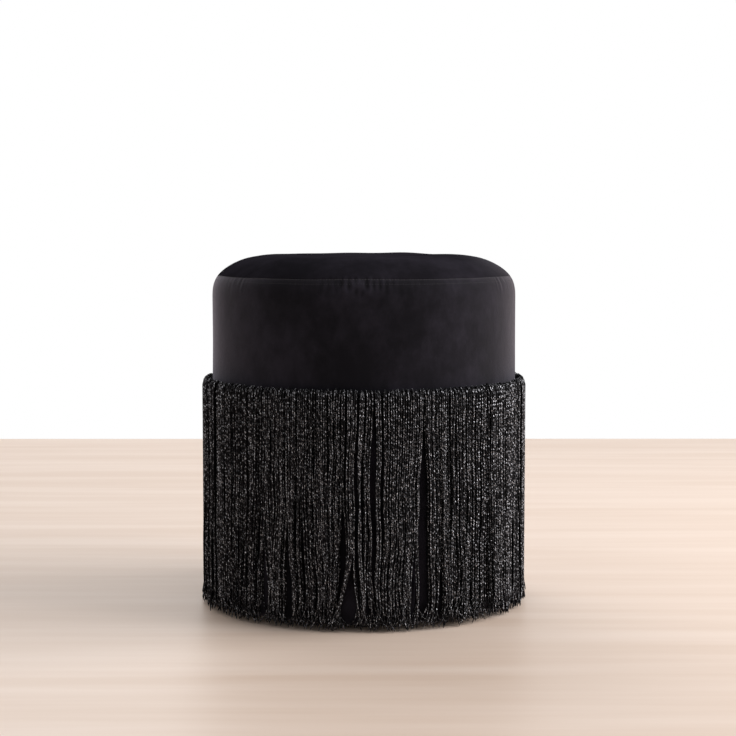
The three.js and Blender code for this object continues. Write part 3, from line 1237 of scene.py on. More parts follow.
@dataclass(frozen=True)
class ZincSteel(Finish):
    """Zinc-plated steel, with drawn lines and faint tarnish."""

    name: str = "zinc_steel"
    shade: Colour = (0.36, 0.36, 0.37, 1)
    light: Colour = (0.62, 0.62, 0.63, 1)
    roughness: float = 0.26
    roughness_spread: float = 0.2
    specular: float = 0.5
    metallic: float = 1.0
    relief: float = 0.00003
    lines: Grain = Grain(900.0, octaves=3.0, stretch=(1.0, 1.0, 0.08))
    line_share: float = 0.5
    tarnish: Grain = Grain(140.0, octaves=3.0)
    tarnish_tones: Span = (0.35, 0.65)

    def look(self, tree: SurfaceTree) -> Look:
        """Builds drawn lines, over patches of tarnish."""
        lines, tarnish = tree.grain(self.lines), tree.grain(self.tarnish)
        return Look(tarnish.eased(*self.tarnish_tones), tarnish + self.line_share * lines, lines)


@dataclass(frozen=True)
class PaleFloor(Finish):
    """Plain pale wood floor, matt enough to hold a soft shadow."""

    name: str = "pale_floor"
    shade: Colour = (0.70, 0.54, 0.435, 1)
    light: Colour = (0.79, 0.645, 0.55, 1)
    roughness: float = 0.38
    roughness_spread: float = 0.12
    specular: float = 0.35
    grain: Grain = Grain(2.2, octaves=4.0, octave_share=0.55, stretch=(0.6, 9.0, 1.0))
    tones: Span = (0.25, 0.75)

    def look(self, tree: SurfaceTree) -> Look:
        """Builds faint long grain."""
        grain = tree.grain(self.grain)
        return Look(grain.eased(*self.tones), grain)


# Sub-assemblies


class Slot(Enum):
    """The record's material slots, one named for each new piece."""

    VELVET = "velvet"
    FRINGE = "fringe"
    WADDING = "wadding"
    FOAM = "foam"
    DUST_COVER = "dust_cover"


def settle(piece: bpy.types.Object, slot: Slot, *nodes: str) -> bpy.types.Object:
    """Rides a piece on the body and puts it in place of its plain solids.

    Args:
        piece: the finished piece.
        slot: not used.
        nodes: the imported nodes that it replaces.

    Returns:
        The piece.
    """
    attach(piece, BODY)
    if nodes:
        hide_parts(*nodes)
    log.info("%s: %d faces", piece.name, len(piece.data.polygons))
    return piece


@dataclass
class SettledSkin:
    """The velvet's skin round the seam, settled as cloth, and how far it stands off its padding."""

    outline: PaddedOutline = field(default_factory=PaddedOutline)
    columns: int = 720
    row_pitch: float = 0.0030
    fine_steps: int = 400
    foot_height: float = 0.295
    inner_radius: float = 0.100
    frames: int = 20
    steps_per_frame: int = 5
    point_mass: float = 0.3
    pressure: float = 4.0
    stretch_stiffness: float = 15.0
    bending_stiffness: float = 0.5
    start: Ripples = Ripples(fewest=70, most=170, seed=11, drift=40.0)
    start_unevenness: float = 0.00012
    gathers: Ripples = Ripples(fewest=3, most=17, seed=12)
    gathers_span: Span = (-0.6, 1.2)
    gathers_share: float = 0.25
    front_gather_turn: float = math.radians(268.0)
    front_gather_width: float = math.radians(13.0)
    spare_share: float = 0.045
    spare_reach: float = 0.016
    slow_columns: int = 12
    lift_gain: float = 2.4
    cap: float = 0.0012
    full_reach_below: float = 0.011
    last_reach_below: float = 0.027
    last_reach_above: float = 0.005
    radii: np.ndarray = field(init=False)
    heights: np.ndarray = field(init=False)
    away: np.ndarray = field(init=False)
    lifts: np.ndarray = field(init=False)

    def __post_init__(self) -> None:
        """Starts with a skin that lies flat on its padding."""
        self.radii, self.heights, self.away = self.cut_line()
        self.lifts = np.zeros((self.away.size, self.columns))

    @property
    def turns(self) -> np.ndarray:
        """The columns' turns."""
        return np.arange(self.columns) * (FULL_TURN / self.columns)

    def cut_line(self) -> tuple[np.ndarray, np.ndarray, np.ndarray]:
        """Cuts the skin's section into even steps, with one point on the seam.

        Returns:
            The points' radii and heights, and how far each is above the seam along the cloth.
        """
        outline, steps = self.outline, self.fine_steps
        foot = (outline.body_radius, self.foot_height)
        below = [foot, *outline.shoulder_line(0.0, outline.seam_turn, steps, 0.0)]
        above = outline.shoulder_line(outline.seam_turn, QUARTER_TURN, steps, 0.0)
        above = [point for point in above if point[0] > self.inner_radius]
        rows_below, rows_above = self.evenly(below), self.evenly(above)
        rows_below[-1] -= rows_below[-1][-1]
        return tuple(np.concatenate([rows_below, rows_above[:, 1:]], axis=1))

    def evenly(self, line: Line) -> np.ndarray:
        """Cuts a line into even steps.

        Args:
            line: its radii and heights.

        Returns:
            A row each of radii, of heights and of distances along the line.
        """
        radii, heights = np.array(line).T
        reach = np.concatenate([[0.0], np.cumsum(np.hypot(np.diff(radii), np.diff(heights)))])
        places = np.linspace(0.0, reach[-1], round(reach[-1] / self.row_pitch) + 1)
        return np.array([np.interp(places, reach, radii), np.interp(places, reach, heights), places])

    def settle(self) -> None:
        """Runs the cloth and keeps how far each point has moved off the padding."""
        skin = self.laid_out()
        self.run_cloth(skin)
        lifts = self.moved(skin)
        log.info("skin: lifts from %.5f to %.5f", lifts.min(), lifts.max())
        near_seam = eased(self.away, -self.last_reach_below, -self.full_reach_below)
        near_seam = near_seam * eased(self.away, self.last_reach_above, 0.0)
        lifts = self.calmed(lifts) * self.lift_gain * near_seam[:, None] * self.gathered
        self.lifts = self.cap * np.tanh(lifts / self.cap)
        bpy.data.objects.remove(skin)
        bpy.context.scene.frame_set(1)

    def laid_out(self) -> bpy.types.Object:
        """Lays the skin on its padding, nearly flat, with groups for the cloth to use.

        Returns:
            The skin.
        """
        rows, columns = self.lifts.shape
        flat = np.broadcast_arrays(self.radii[:, None], self.heights[:, None], self.turns[None, :])
        places = Places(*flat)
        start = self.start.at(places.turns, places.heights) * self.start_unevenness
        corners = np.arange(rows * columns).reshape(rows, columns)
        near, far = corners[:-1], corners[1:]
        quads = [near, np.roll(near, -1, axis=1), np.roll(far, -1, axis=1), far]
        mesh = meshed("skin", places.lifted(self.outline, start), quads, [])
        skin = new_piece("skin", mesh)
        held = skin.vertex_groups.new(name="held")
        seam_row = int(np.argmin(np.abs(self.away)))
        for row in (0, seam_row, rows - 1):
            held.add(corners[row].tolist(), 1.0, "REPLACE")
        tight = skin.vertex_groups.new(name="tight")
        for corner, weight in enumerate((1 - self.spare()).ravel().tolist()):
            tight.add([corner], weight, "REPLACE")
        return skin

    @property
    def gathered(self) -> np.ndarray:
        """How far the seam draws the cloth together, from zero to one, at each column's turn."""
        gathers = eased(self.gathers.at(self.turns), *self.gathers_span)
        front = np.exp(-(((self.turns - self.front_gather_turn) / self.front_gather_width) ** 2))
        return np.maximum(gathers * self.gathers_share, front)

    def spare(self) -> np.ndarray:
        """Gives each point a share of the spare length in the cloth, most at the seam's gathers."""
        return np.exp(-np.abs(self.away) / self.spare_reach)[:, None] * self.gathered

    def run_cloth(self, skin: bpy.types.Object) -> None:
        """Gives the skin Blender's cloth and steps through its frames.

        Args:
            skin: the skin, with its held and tight points in groups.
        """
        modifier = skin.modifiers.new("cloth", "CLOTH")
        settings = {
            "quality": self.steps_per_frame,
            "mass": self.point_mass,
            "tension_stiffness": self.stretch_stiffness,
            "compression_stiffness": self.stretch_stiffness,
            "shear_stiffness": self.stretch_stiffness,
            "bending_model": "ANGULAR",
            "bending_stiffness": self.bending_stiffness,
            "use_pressure": True,
            "uniform_pressure_force": self.pressure,
            "vertex_group_mass": "held",
            "vertex_group_shrink": "tight",
            "shrink_min": -self.spare_share,
            "shrink_max": 0.0,
        }
        for name, setting in settings.items():
            setattr(modifier.settings, name, setting)
        modifier.settings.effector_weights.gravity = 0.0
        modifier.point_cache.frame_start = 1
        modifier.point_cache.frame_end = self.frames
        for frame in range(1, self.frames + 1):
            bpy.context.scene.frame_set(frame)

    def moved(self, skin: bpy.types.Object) -> np.ndarray:
        """Measures how far the settled skin's pleats stand off its padding, without its slow swelling.

        Args:
            skin: the skin at its last frame.

        Returns:
            The lift at every point.
        """
        graph = bpy.context.evaluated_depsgraph_get()
        found = Places.of(skin.evaluated_get(graph).data)
        radii, heights = self.radii[:, None], self.heights[:, None]
        out, up = self.outline.outward(radii, heights)
        shape = self.lifts.shape
        lifts = out * (found.radii.reshape(shape) - radii)
        lifts = lifts + up * (found.heights.reshape(shape) - heights)
        steps = range(-self.slow_columns, self.slow_columns + 1)
        swelling = sum(np.roll(lifts, step, axis=1) for step in steps) / len(steps)
        return lifts - swelling

    @staticmethod
    def calmed(lifts: np.ndarray) -> np.ndarray:
        """Evens out the zigzags between neighbouring points.

        Args:
            lifts: the lift at every point.

        Returns:
            The calmer lifts, each with as much of itself as of its two neighbours, up and then round.
        """
        edged = np.pad(lifts, ((1, 1), (0, 0)), mode="edge")
        upward = (lifts + (edged[:-2] + edged[2:]) / 2) / 2
        return (upward + (np.roll(upward, 1, axis=1) + np.roll(upward, -1, axis=1)) / 2) / 2

    def lift(self, places: Places) -> np.ndarray:
        """Reads how far the settled skin stands off its padding.

        Args:
            places: where it is read.

        Returns:
            The lift at each place.
        """
        steps = np.arange(self.away.size)
        rows = np.interp(places.heights - places.radii, self.heights - self.radii, steps)
        return sampled(self.lifts, rows, places.turns / FULL_TURN * self.columns)


@dataclass(frozen=True)
class LineSteps:
    """How finely one face of the cover is cut."""

    dome: int
    shoulder: int
    seam: int
    side: int
    foot: int


@dataclass
class VelvetCover:
    """The seat's round top panel and the side panel, sewn together round the shoulder."""

    outline: PaddedOutline = field(default_factory=PaddedOutline)
    skin: SettledSkin = field(default_factory=SettledSkin)
    finish: Velvet = field(default_factory=Velvet)
    # The top panel's velvet carries painted shade, with painted light towards its +X rim.
    top_finish: ShadedTopVelvet = field(default_factory=ShadedTopVelvet)
    fullness: float = 0.9
    cloth_thickness: float = 0.0015
    round_steps: int = 960
    crown_steps: int = 8
    outer_steps: LineSteps = LineSteps(dome=44, shoulder=30, seam=8, side=20, foot=6)
    inner_steps: LineSteps = LineSteps(dome=16, shoulder=10, seam=2, side=8, foot=3)
    turn_under_width: float = 0.040
    seam_gap: float = 0.0001
    seam_depth: float = 0.00018
    seam_width: float = 0.0010
    back_seam_depth: float = 0.0011
    back_seam_width: float = 0.0018
    slack: Ripples = Ripples(fewest=2, most=11, seed=13, drift=14.0)
    slack_height: float = 0.00050
    slack_heights: Span = (0.262, 0.310)
    slack_radii: Span = (0.030, 0.130)
    plump_height: float = 0.0022
    plump_inner_radii: Span = (0.078, 0.124)
    plump_outer_radii: Span = (0.166, 0.130)

    def seam_point(self, inset: float) -> tuple[float, float]:
        """Finds where the two panels meet, at an inset from the velvet's face."""
        return self.outline.shoulder_point(self.outline.seam_turn, inset)

    def shape(self, places: Places) -> Places:
        """Sinks the seams, plumps the dome and lifts the skin where it settled off its padding.

        Args:
            places: the points on the plain outline.

        Returns:
            The moved points.
        """
        radii, heights, turns = places.radii, places.heights, places.turns
        seam_radius, seam_height = self.seam_point(0.0)
        away = np.hypot(radii - seam_radius, heights - seam_height)
        lift = -self.seam_depth * np.exp(-((away / self.seam_width) ** 2)) + self.skin.lift(places)
        padded = eased(heights, *self.slack_heights)
        free = padded * eased(radii, *self.slack_radii)
        lift = lift + self.slack_height * self.slack.at(turns, heights) * free
        plump = eased(radii, *self.plump_inner_radii) * eased(radii, *self.plump_outer_radii)
        lift = lift + self.plump_height * plump * padded
        off_back = (turns - QUARTER_TURN) * radii
        back_seam = -self.back_seam_depth * np.exp(-((off_back / self.back_seam_width) ** 2))
        below_seam = eased(seam_height - heights, -self.seam_width, 0.0)
        return places.lifted(self.outline, lift + back_seam * below_seam * free)

    def top_line(self, inset: float, steps: LineSteps) -> Line:
        """Finds the top panel's line, from the axis out to the seam.

        Args:
            inset: how far inside the velvet's face it is.
            steps: how finely it is cut.

        Returns:
            The points' radii and heights.
        """
        outline = self.outline
        radius, height = outline.shoulder_point(QUARTER_TURN, inset)
        flat = [(radius * step / self.crown_steps, height) for step in range(self.crown_steps)]
        dome = outline.shoulder_line(QUARTER_TURN, outline.seam_turn, steps.dome, inset)
        return flat + self.crowded(dome, steps.seam)

    @staticmethod
    def crowded(line: Line, steps: int) -> Line:
        """Cuts a line's last step, which ends at the seam, finer.

        Args:
            line: radii and heights, ending at the seam.
            steps: how many steps the last one is cut into.

        Returns:
            The line with its last step cut finer.
        """
        before, last = np.array(line[-2]), np.array(line[-1])
        fine = [before + (last - before) * step / steps for step in range(1, steps)]
        return [*line[:-1], *(tuple(point.tolist()) for point in fine), line[-1]]

    def side_line(self, inset: float, steps: LineSteps) -> Line:
        """Finds the side panel's line, from its edge under the body up to the seam.

        Args:
            inset: how far inside the velvet's face it is.
            steps: how finely it is cut.

        Returns:
            The points' radii and heights.
        """
        outline = self.outline
        foot = outline.cover_foot + inset
        edge = (outline.body_radius - self.turn_under_width, foot)
        rounded = outline.foot_line(steps.foot, inset, foot)
        radius, low, high = outline.body_radius - inset, rounded[-1][1], outline.shoulder_foot
        side = [(radius, low + (high - low) * step / steps.side) for step in range(1, steps.side)]
        shoulder = outline.shoulder_line(0.0, outline.seam_turn, steps.shoulder, inset)
        lowered = [edge, *rounded, *side, *self.crowded(shoulder, steps.seam)]
        return [(radius, height - self.seam_gap) for radius, height in lowered]

    def build(self) -> None:
        """Makes and dresses both panels."""
        under, outer, inner = self.cloth_thickness, self.outer_steps, self.inner_steps
        panels = {
            "seat_cover": (self.top_line, self.top_finish),
            "side_cover": (self.side_line, self.finish),
        }
        for node, (line, finish) in panels.items():
            section = line(0.0, outer) + line(under, inner)[::-1]
            mesh = turned(node + "_velvet", section, self.round_steps, self.shape)
            mesh.materials.append(finish.material())
            self.mark_pleats(mesh)
            piece = settle(new_piece(node + "_velvet", mesh), Slot.VELVET, node)

    def mark_pleats(self, mesh: bpy.types.Mesh) -> None:
        """Keeps on every point of a panel how far it stands on a pleat, for the nap's painted shade and
        light and its bump.

        Args:
            mesh: the panel's mesh.
        """
        pleats = self.skin.lift(Places.of(mesh)) / self.skin.cap
        attribute = mesh.attributes.new(PLEAT_MAP, "FLOAT", "POINT")
        attribute.data.foreach_set("value", pleats.astype(np.float32))


@dataclass(frozen=True)
class StitchRow:
    """One row of stitches, at its own distance below the seam."""

    stitches: int
    drop: float
    sunk: float
    stitch_length: float
    thread_width: float
    seed: int
    finish: SewingThread


@dataclass
class SeamStitching:
    """The stitches in the seam between the panels, and the row that holds the seam's edge down."""

    cover: VelvetCover
    rows: tuple[StitchRow, ...] = (
        StitchRow(
            stitches=330,
            drop=0.0,
            sunk=-0.00008,
            stitch_length=0.0023,
            thread_width=0.0006,
            seed=5,
            finish=SewingThread(),
        ),
        StitchRow(
            stitches=356,
            drop=0.0056,
            sunk=0.00010,
            stitch_length=0.0018,
            thread_width=0.00045,
            seed=6,
            finish=SewingThread(
                name="black_thread",
                shade=(0.006, 0.006, 0.007, 1),
                light=(0.040, 0.038, 0.043, 1),
                specular=0.35,
            ),
        ),
    )
    sides: int = 6
    rings: int = 4
    unevenness_share: float = 0.12

    def tree(self) -> GrowingTree:
        """Makes the tree that lays stitches round a circle.

        Returns:
            The tree.
        """
        tree = GrowingTree("stitches round a seam")
        stitches, seed = tree.takes(SocketKind.COUNT, "Stitches", "Seed")
        radius, height = tree.takes(SocketKind.LENGTH, "Circle radius", "Height")
        length, width = tree.takes(SocketKind.LENGTH, "Stitch length", "Thread width")
        (material,) = tree.takes(SocketKind.MATERIAL, "Material")
        ball = {"Segments": self.sides, "Rings": self.rings, "Radius": 1 / 2}
        bead = tree.value("GeometryNodeMeshUVSphere", ball, output="Mesh")
        mesh = tree.repeated(bead, stitches, "stitch")
        stitch = tree.stored("stitch", "INT")
        across, deep, high = tree.parts(tree.value("GeometryNodeInputPosition"))
        uneven = 1 + tree.chance(stitch, seed, 1) * self.unevenness_share
        turn = stitch / stitches * FULL_TURN + high * (length * uneven) / radius
        reach = radius + across * width
        place = tree.joined(reach * turn.cosine(), reach * turn.sine(), height + deep * width)
        tree.give(mesh, place, material)
        return tree

    def inputs(self, row: StitchRow) -> dict[str, Source]:
        """Finds where a row lies on the padded outline.

        Args:
            row: the row.

        Returns:
            The tree's inputs by name.
        """
        skin = self.cover.skin
        radius = np.interp(-row.drop, skin.away, skin.radii)
        height = np.interp(-row.drop, skin.away, skin.heights)
        out, up = self.cover.outline.outward(radius, height)
        return {
            "Stitches": row.stitches,
            "Circle radius": float(radius - out * row.sunk),
            "Height": float(height - up * row.sunk),
            "Stitch length": row.stitch_length,
            "Thread width": row.thread_width,
            "Seed": row.seed,
            "Material": row.finish.material(),
        }

    def build(self) -> None:
        """Makes the stitches and lays them on the settled velvet."""
        piece = grown("seam_stitches", self.tree(), [self.inputs(row) for row in self.rows])
        tidy(piece.data)
        places = self.cover.shape(Places.of(piece.data)).in_space()
        piece.data.vertices.foreach_set("co", places.astype(np.float32).ravel())
        settle(piece, Slot.VELVET)


@dataclass
class Padding:
    """The foam and wadding under the velvet."""

    cover: VelvetCover
    foam: Foam = field(default_factory=Foam)
    foam_fullness: float = 1.0
    wadding: Wadding = field(default_factory=Wadding)
    wadding_fullness: float = 0.5
    wadding_inset: float = 0.0018
    foam_inset: float = 0.0081
    wadding_thickness: float = 0.0060
    side_foam_thickness: float = 0.010
    base_board_foot: float = 0.0080
    top_board_top: float = 0.3417
    foam_foot: float = 0.342
    round_steps: int = 480
    dome_steps: int = 40
    side_steps: int = 40
    foot_steps: int = 4
    skin: float = 0.008
    wear: Ripples = Ripples(fewest=3, most=19, seed=21, drift=20.0)
    wear_span: Span = (-1.0, 1.0)
    wear_depth: float = 0.00020

    def worn(self, places: Places) -> Places:
        """Shapes a layer as the velvet over it, and presses it in a little, unevenly.

        Args:
            places: the points on the plain layer.

        Returns:
            The moved points.
        """
        outline = self.cover.outline
        radii, heights = places.radii, places.heights
        worn = eased(self.wear.at(places.turns, heights), *self.wear_span)
        free = eased(heights, self.foam_foot, outline.shoulder_foot)
        out, up = outline.outward(radii, heights)
        pressed = -self.wear_depth * worn * free
        inner = outline.body_radius - self.wadding_inset - self.side_foam_thickness
        lying = np.where(heights > self.foam_foot, 1.0, eased(radii, inner, inner + self.skin))
        shaped = self.cover.shape(places)
        radii = radii + (shaped.radii - radii) * lying + out * pressed
        heights = heights + (shaped.heights - heights) * lying + up * pressed
        return replace(places, radii=radii, heights=heights)

    def dome(self, inset: float) -> Line:
        """Finds the padded line from a layer's skirt up over to the axis.

        Args:
            inset: how far inside the velvet's face it is.

        Returns:
            The points' radii and heights.
        """
        outline = self.cover.outline
        skirt = (outline.body_radius - inset, self.foam_foot)
        line = outline.shoulder_line(0.0, QUARTER_TURN, self.dome_steps, inset)
        return [skirt, *line, (0.0, outline.seat_height - inset)]

    def layer(self, node: str, section: Line, finish: Finish, slot: Slot) -> None:
        """Makes one layer.

        Args:
            node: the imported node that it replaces.
            section: its closed section.
            finish: what it is made of.
            slot: its material slot.
        """
        mesh = turned(node + "_soft", section, self.round_steps, self.worn)
        mesh.materials.append(finish.material())
        piece = settle(new_piece(node + "_soft", mesh), slot, node)

    def build(self) -> None:
        """Makes the seat's foam, its wadding and the foam round the side."""
        outline = self.cover.outline
        block = [(0.0, self.foam_foot), *self.dome(self.foam_inset)]
        self.layer("seat_foam", block, self.foam, Slot.FOAM)
        under = self.wadding_inset + self.wadding_thickness
        blanket = self.dome(under)[::-1] + self.dome(self.wadding_inset)
        self.layer("seat_wadding", blanket, self.wadding, Slot.WADDING)
        foot = outline.foot_line(self.foot_steps, self.wadding_inset, self.base_board_foot)
        outer, low = outline.body_radius - self.wadding_inset, foot[-1][1]
        rise = (self.top_board_top - low) / self.side_steps
        side = [(outer, low + rise * step) for step in range(1, self.side_steps + 1)]
        inner = outer - self.side_foam_thickness
        wrap = [(inner, self.base_board_foot), *foot, *side, (inner, self.top_board_top)]
        self.layer("side_foam", wrap, self.foam, Slot.FOAM)


@dataclass
class DustCover:
    """The black cloth stapled over the underside."""

    finish: DustCloth = field(default_factory=DustCloth)
    radius: float = 0.163
    foot: float = 0.0053
    thickness: float = 0.0006
    round_steps: int = 180
    radius_steps: int = 36
    edge_waver: float = 0.0006
    edge_power: int = 8
    edge_ripples: Ripples = Ripples(fewest=5, most=26, seed=31)

    def shape(self, places: Places) -> Places:
        """Makes the scissored edge waver.

        Args:
            places: the points of the round cloth.

        Returns:
            The moved points.
        """
        waver = self.edge_waver * self.edge_ripples.at(places.turns)
        waver = waver * (places.radii / self.radius) ** self.edge_power
        return replace(places, radii=places.radii + waver)

    def build(self) -> None:
        """Makes and dresses the cloth."""
        reach = self.radius - self.edge_waver
        steps = self.radius_steps
        under = [(reach * step / steps, self.foot) for step in range(steps + 1)]
        over = [(radius, self.foot + self.thickness) for radius, _ in reversed(under)]
        mesh = turned("dust_cover_cloth", under + over, self.round_steps, self.shape)
        mesh.materials.append(self.finish.material())
        piece = settle(new_piece("dust_cover_cloth", mesh), Slot.DUST_COVER, "dust_cover")


class Side(Enum):
    """The four lengths of fringe, by the turn at the middle of each."""

    FRONT = -QUARTER_TURN
    RIGHT = 0.0
    BACK = QUARTER_TURN
    LEFT = HALF_TURN

    @property
    def first_turn(self) -> float:
        """The turn at which the length starts."""
        return self.value - QUARTER_TURN / 2


class Draw(Enum):
    """What each of a strand's random numbers is drawn for."""

    STRAY = auto()
    ROLL = auto()
    TRIM = auto()
    LEAN = auto()
    TIP_KICK = auto()
    ROOT_LEAN = auto()
    DEPTH = auto()
    TIP_OUT = auto()
    FULLNESS = auto()
    TIP_HOOK = auto()


@dataclass(frozen=True)
class Parting:
    """A gap that opens among the strands towards the hem."""

    degrees: float
    width: float
    start_height: float
    full_height: float


@dataclass(frozen=True)
class Bundling:
    """How the strands gather in bundles of about one size all round the body."""

    bundles: int
    wander: float
    top_pull_share: float
    hem_pull_share: float
    pull_spread_share: float
    lean: float
    wave: float
    swell: float
    salt: int


@dataclass(frozen=True)
class StrandRow:
    """One of the rows of strands, one behind the other."""

    hang_radius: float
    roll_height: float
    hem_height: float
    seed: int


@dataclass
class Fringe:
    """The deep fringe: a woven tape round the body, with strands that rise behind it and hang over."""

    finish: TwistedCord = field(default_factory=TwistedCord)
    tape_finish: WovenTape = field(default_factory=WovenTape)
    strands_in_row: int = 106
    rows: tuple[StrandRow, ...] = (
        StrandRow(hang_radius=0.1853, roll_height=0.0085, hem_height=0.0010, seed=41),
        StrandRow(hang_radius=0.1822, roll_height=0.0060, hem_height=0.0022, seed=42),
        StrandRow(hang_radius=0.1791, roll_height=0.0036, hem_height=0.0035, seed=43),
    )
    seed_step: int = 10
    partings: tuple[Parting, ...] = (
        Parting(-97.1, 0.009, 0.150, 0.080),
        Parting(-92.8, 0.024, 0.090, 0.004),
        Parting(-69.9, 0.009, 0.225, 0.150),
        Parting(-86.8, 0.006, 0.245, 0.190),
        Parting(-110.8, 0.006, 0.150, 0.090),
        Parting(-127.6, 0.005, 0.160, 0.120),
        Parting(-43.0, 0.004, 0.140, 0.060),
        Parting(-12.0, 0.009, 0.150, 0.040),
        Parting(31.0, 0.006, 0.200, 0.120),
        Parting(74.0, 0.016, 0.110, 0.010),
        Parting(122.0, 0.007, 0.180, 0.080),
        Parting(168.0, 0.011, 0.120, 0.020),
    )
    parting_reach: float = 0.018
    root_radius: float = 0.1768
    root_height: float = 0.2513
    body_clearance_radius: float = 0.1766
    floor_clearance: float = 0.0004
    tape_thickness: float = 0.0030
    tape_height: float = 0.014
    tape_inner_radius: float = 0.1753
    tape_steps: int = 90
    cord_width: float = 0.0023
    cord_width_spread_share: float = 0.12
    cord_sides: int = 4
    roll_rings: int = 4
    drop_rings: int = 13
    roll_length: float = 0.022
    roll_unevenness_share: float = 0.14
    stray_roll_share: float = 0.2
    root_lean: float = 0.0030
    root_lean_span: Span = (0.2, 1.0)
    hem_stagger: float = 0.008
    bundlings: tuple[Bundling, ...] = (
        Bundling(
            bundles=33,
            wander=3.0,
            top_pull_share=0.02,
            hem_pull_share=0.14,
            pull_spread_share=0.8,
            lean=0.0070,
            wave=0.0105,
            swell=0.0006,
            salt=11,
        ),
        Bundling(
            bundles=101,
            wander=9.0,
            top_pull_share=0.14,
            hem_pull_share=0.27,
            pull_spread_share=0.7,
            lean=0.0028,
            wave=0.0040,
            swell=0.0007,
            salt=15,
        ),
    )
    bundle_wander: Grain = Grain(4.0, octaves=1.0)
    bundle_waves: Grain = Grain(13.0, octaves=1.0)
    bundle_wave_step: float = 3.3
    bundle_wave_span: Span = (0.05, 0.5)
    lean: float = 0.0016
    wave: float = 0.0040
    waves: Grain = Grain(17.0, octaves=1.0)
    wave_strand_step: float = 5.7
    wave_seed_step: float = 3.1
    wave_span: Span = (0.0, 0.2)
    depth_jitter: float = 0.0005
    stray_share: float = 0.06
    stray_lean: float = 0.013
    stray_wave_gain: float = 2.0
    stray_out: float = 0.0012
    stray_bow: float = 0.0026
    stray_bow_span: Span = (0.3, 0.8)
    tip_crowding: float = 1.75
    tip_span: Span = (0.88, 1.0)
    tip_thinning_share: float = 0.35
    tip_rounding: float = 0.5
    tip_kick: float = 0.0095
    tip_hook: float = 0.0065
    tip_hook_power: int = 6
    tip_out: float = 0.0030
    tip_out_lead: float = 0.1
    map_column_step: int = 17

    def strands(self, tree: GrowingTree, side: Side, material: bpy.types.Material) -> None:
        """Hangs the three rows of one length.

        Args:
            tree: the tree that hangs a row.
            side: which length.
            material: the cord's material.
        """
        rows = [
            {
                "Strands": self.strands_in_row,
                "First turn": side.first_turn,
                "Hang radius": row.hang_radius,
                "Roll height": row.roll_height,
                "Hem height": row.hem_height,
                "Cord width": self.cord_width,
                "Seed": row.seed + self.seed_step * list(Side).index(side),
                "Material": material,
            }
            for row in self.rows
        ]
        node = f"fringe_{side.name.lower()}"
        piece = grown(node + "_strands", tree, rows)
        for spare in ("around", "along", "strand"):
            piece.data.attributes.remove(piece.data.attributes[spare])
        settle(piece, Slot.FRINGE, node)

    def tape(self, side: Side, material: bpy.types.Material) -> None:
        """Makes one length of the woven tape.

        Args:
            side: which length.
            material: the tape's material.
        """
        inner, top = self.tape_inner_radius, self.root_height
        outer, foot = inner + self.tape_thickness, top - self.tape_height
        section = [(inner, foot), (outer, foot), (outer, top), (inner, top)]
        name = f"fringe_{side.name.lower()}_tape"
        mesh = turned(name, section, self.tape_steps, None, side.first_turn, QUARTER_TURN)
        mesh.materials.append(material)
        settle(new_piece(name, mesh), Slot.FRINGE)

    def build(self) -> None:
        """Makes and dresses all four lengths."""
        tree = HangingStrands(self)
        cord, tape = self.finish.material(), self.tape_finish.material()
        for side in Side:
            self.strands(tree, side, cord)
            self.tape(side, tape)


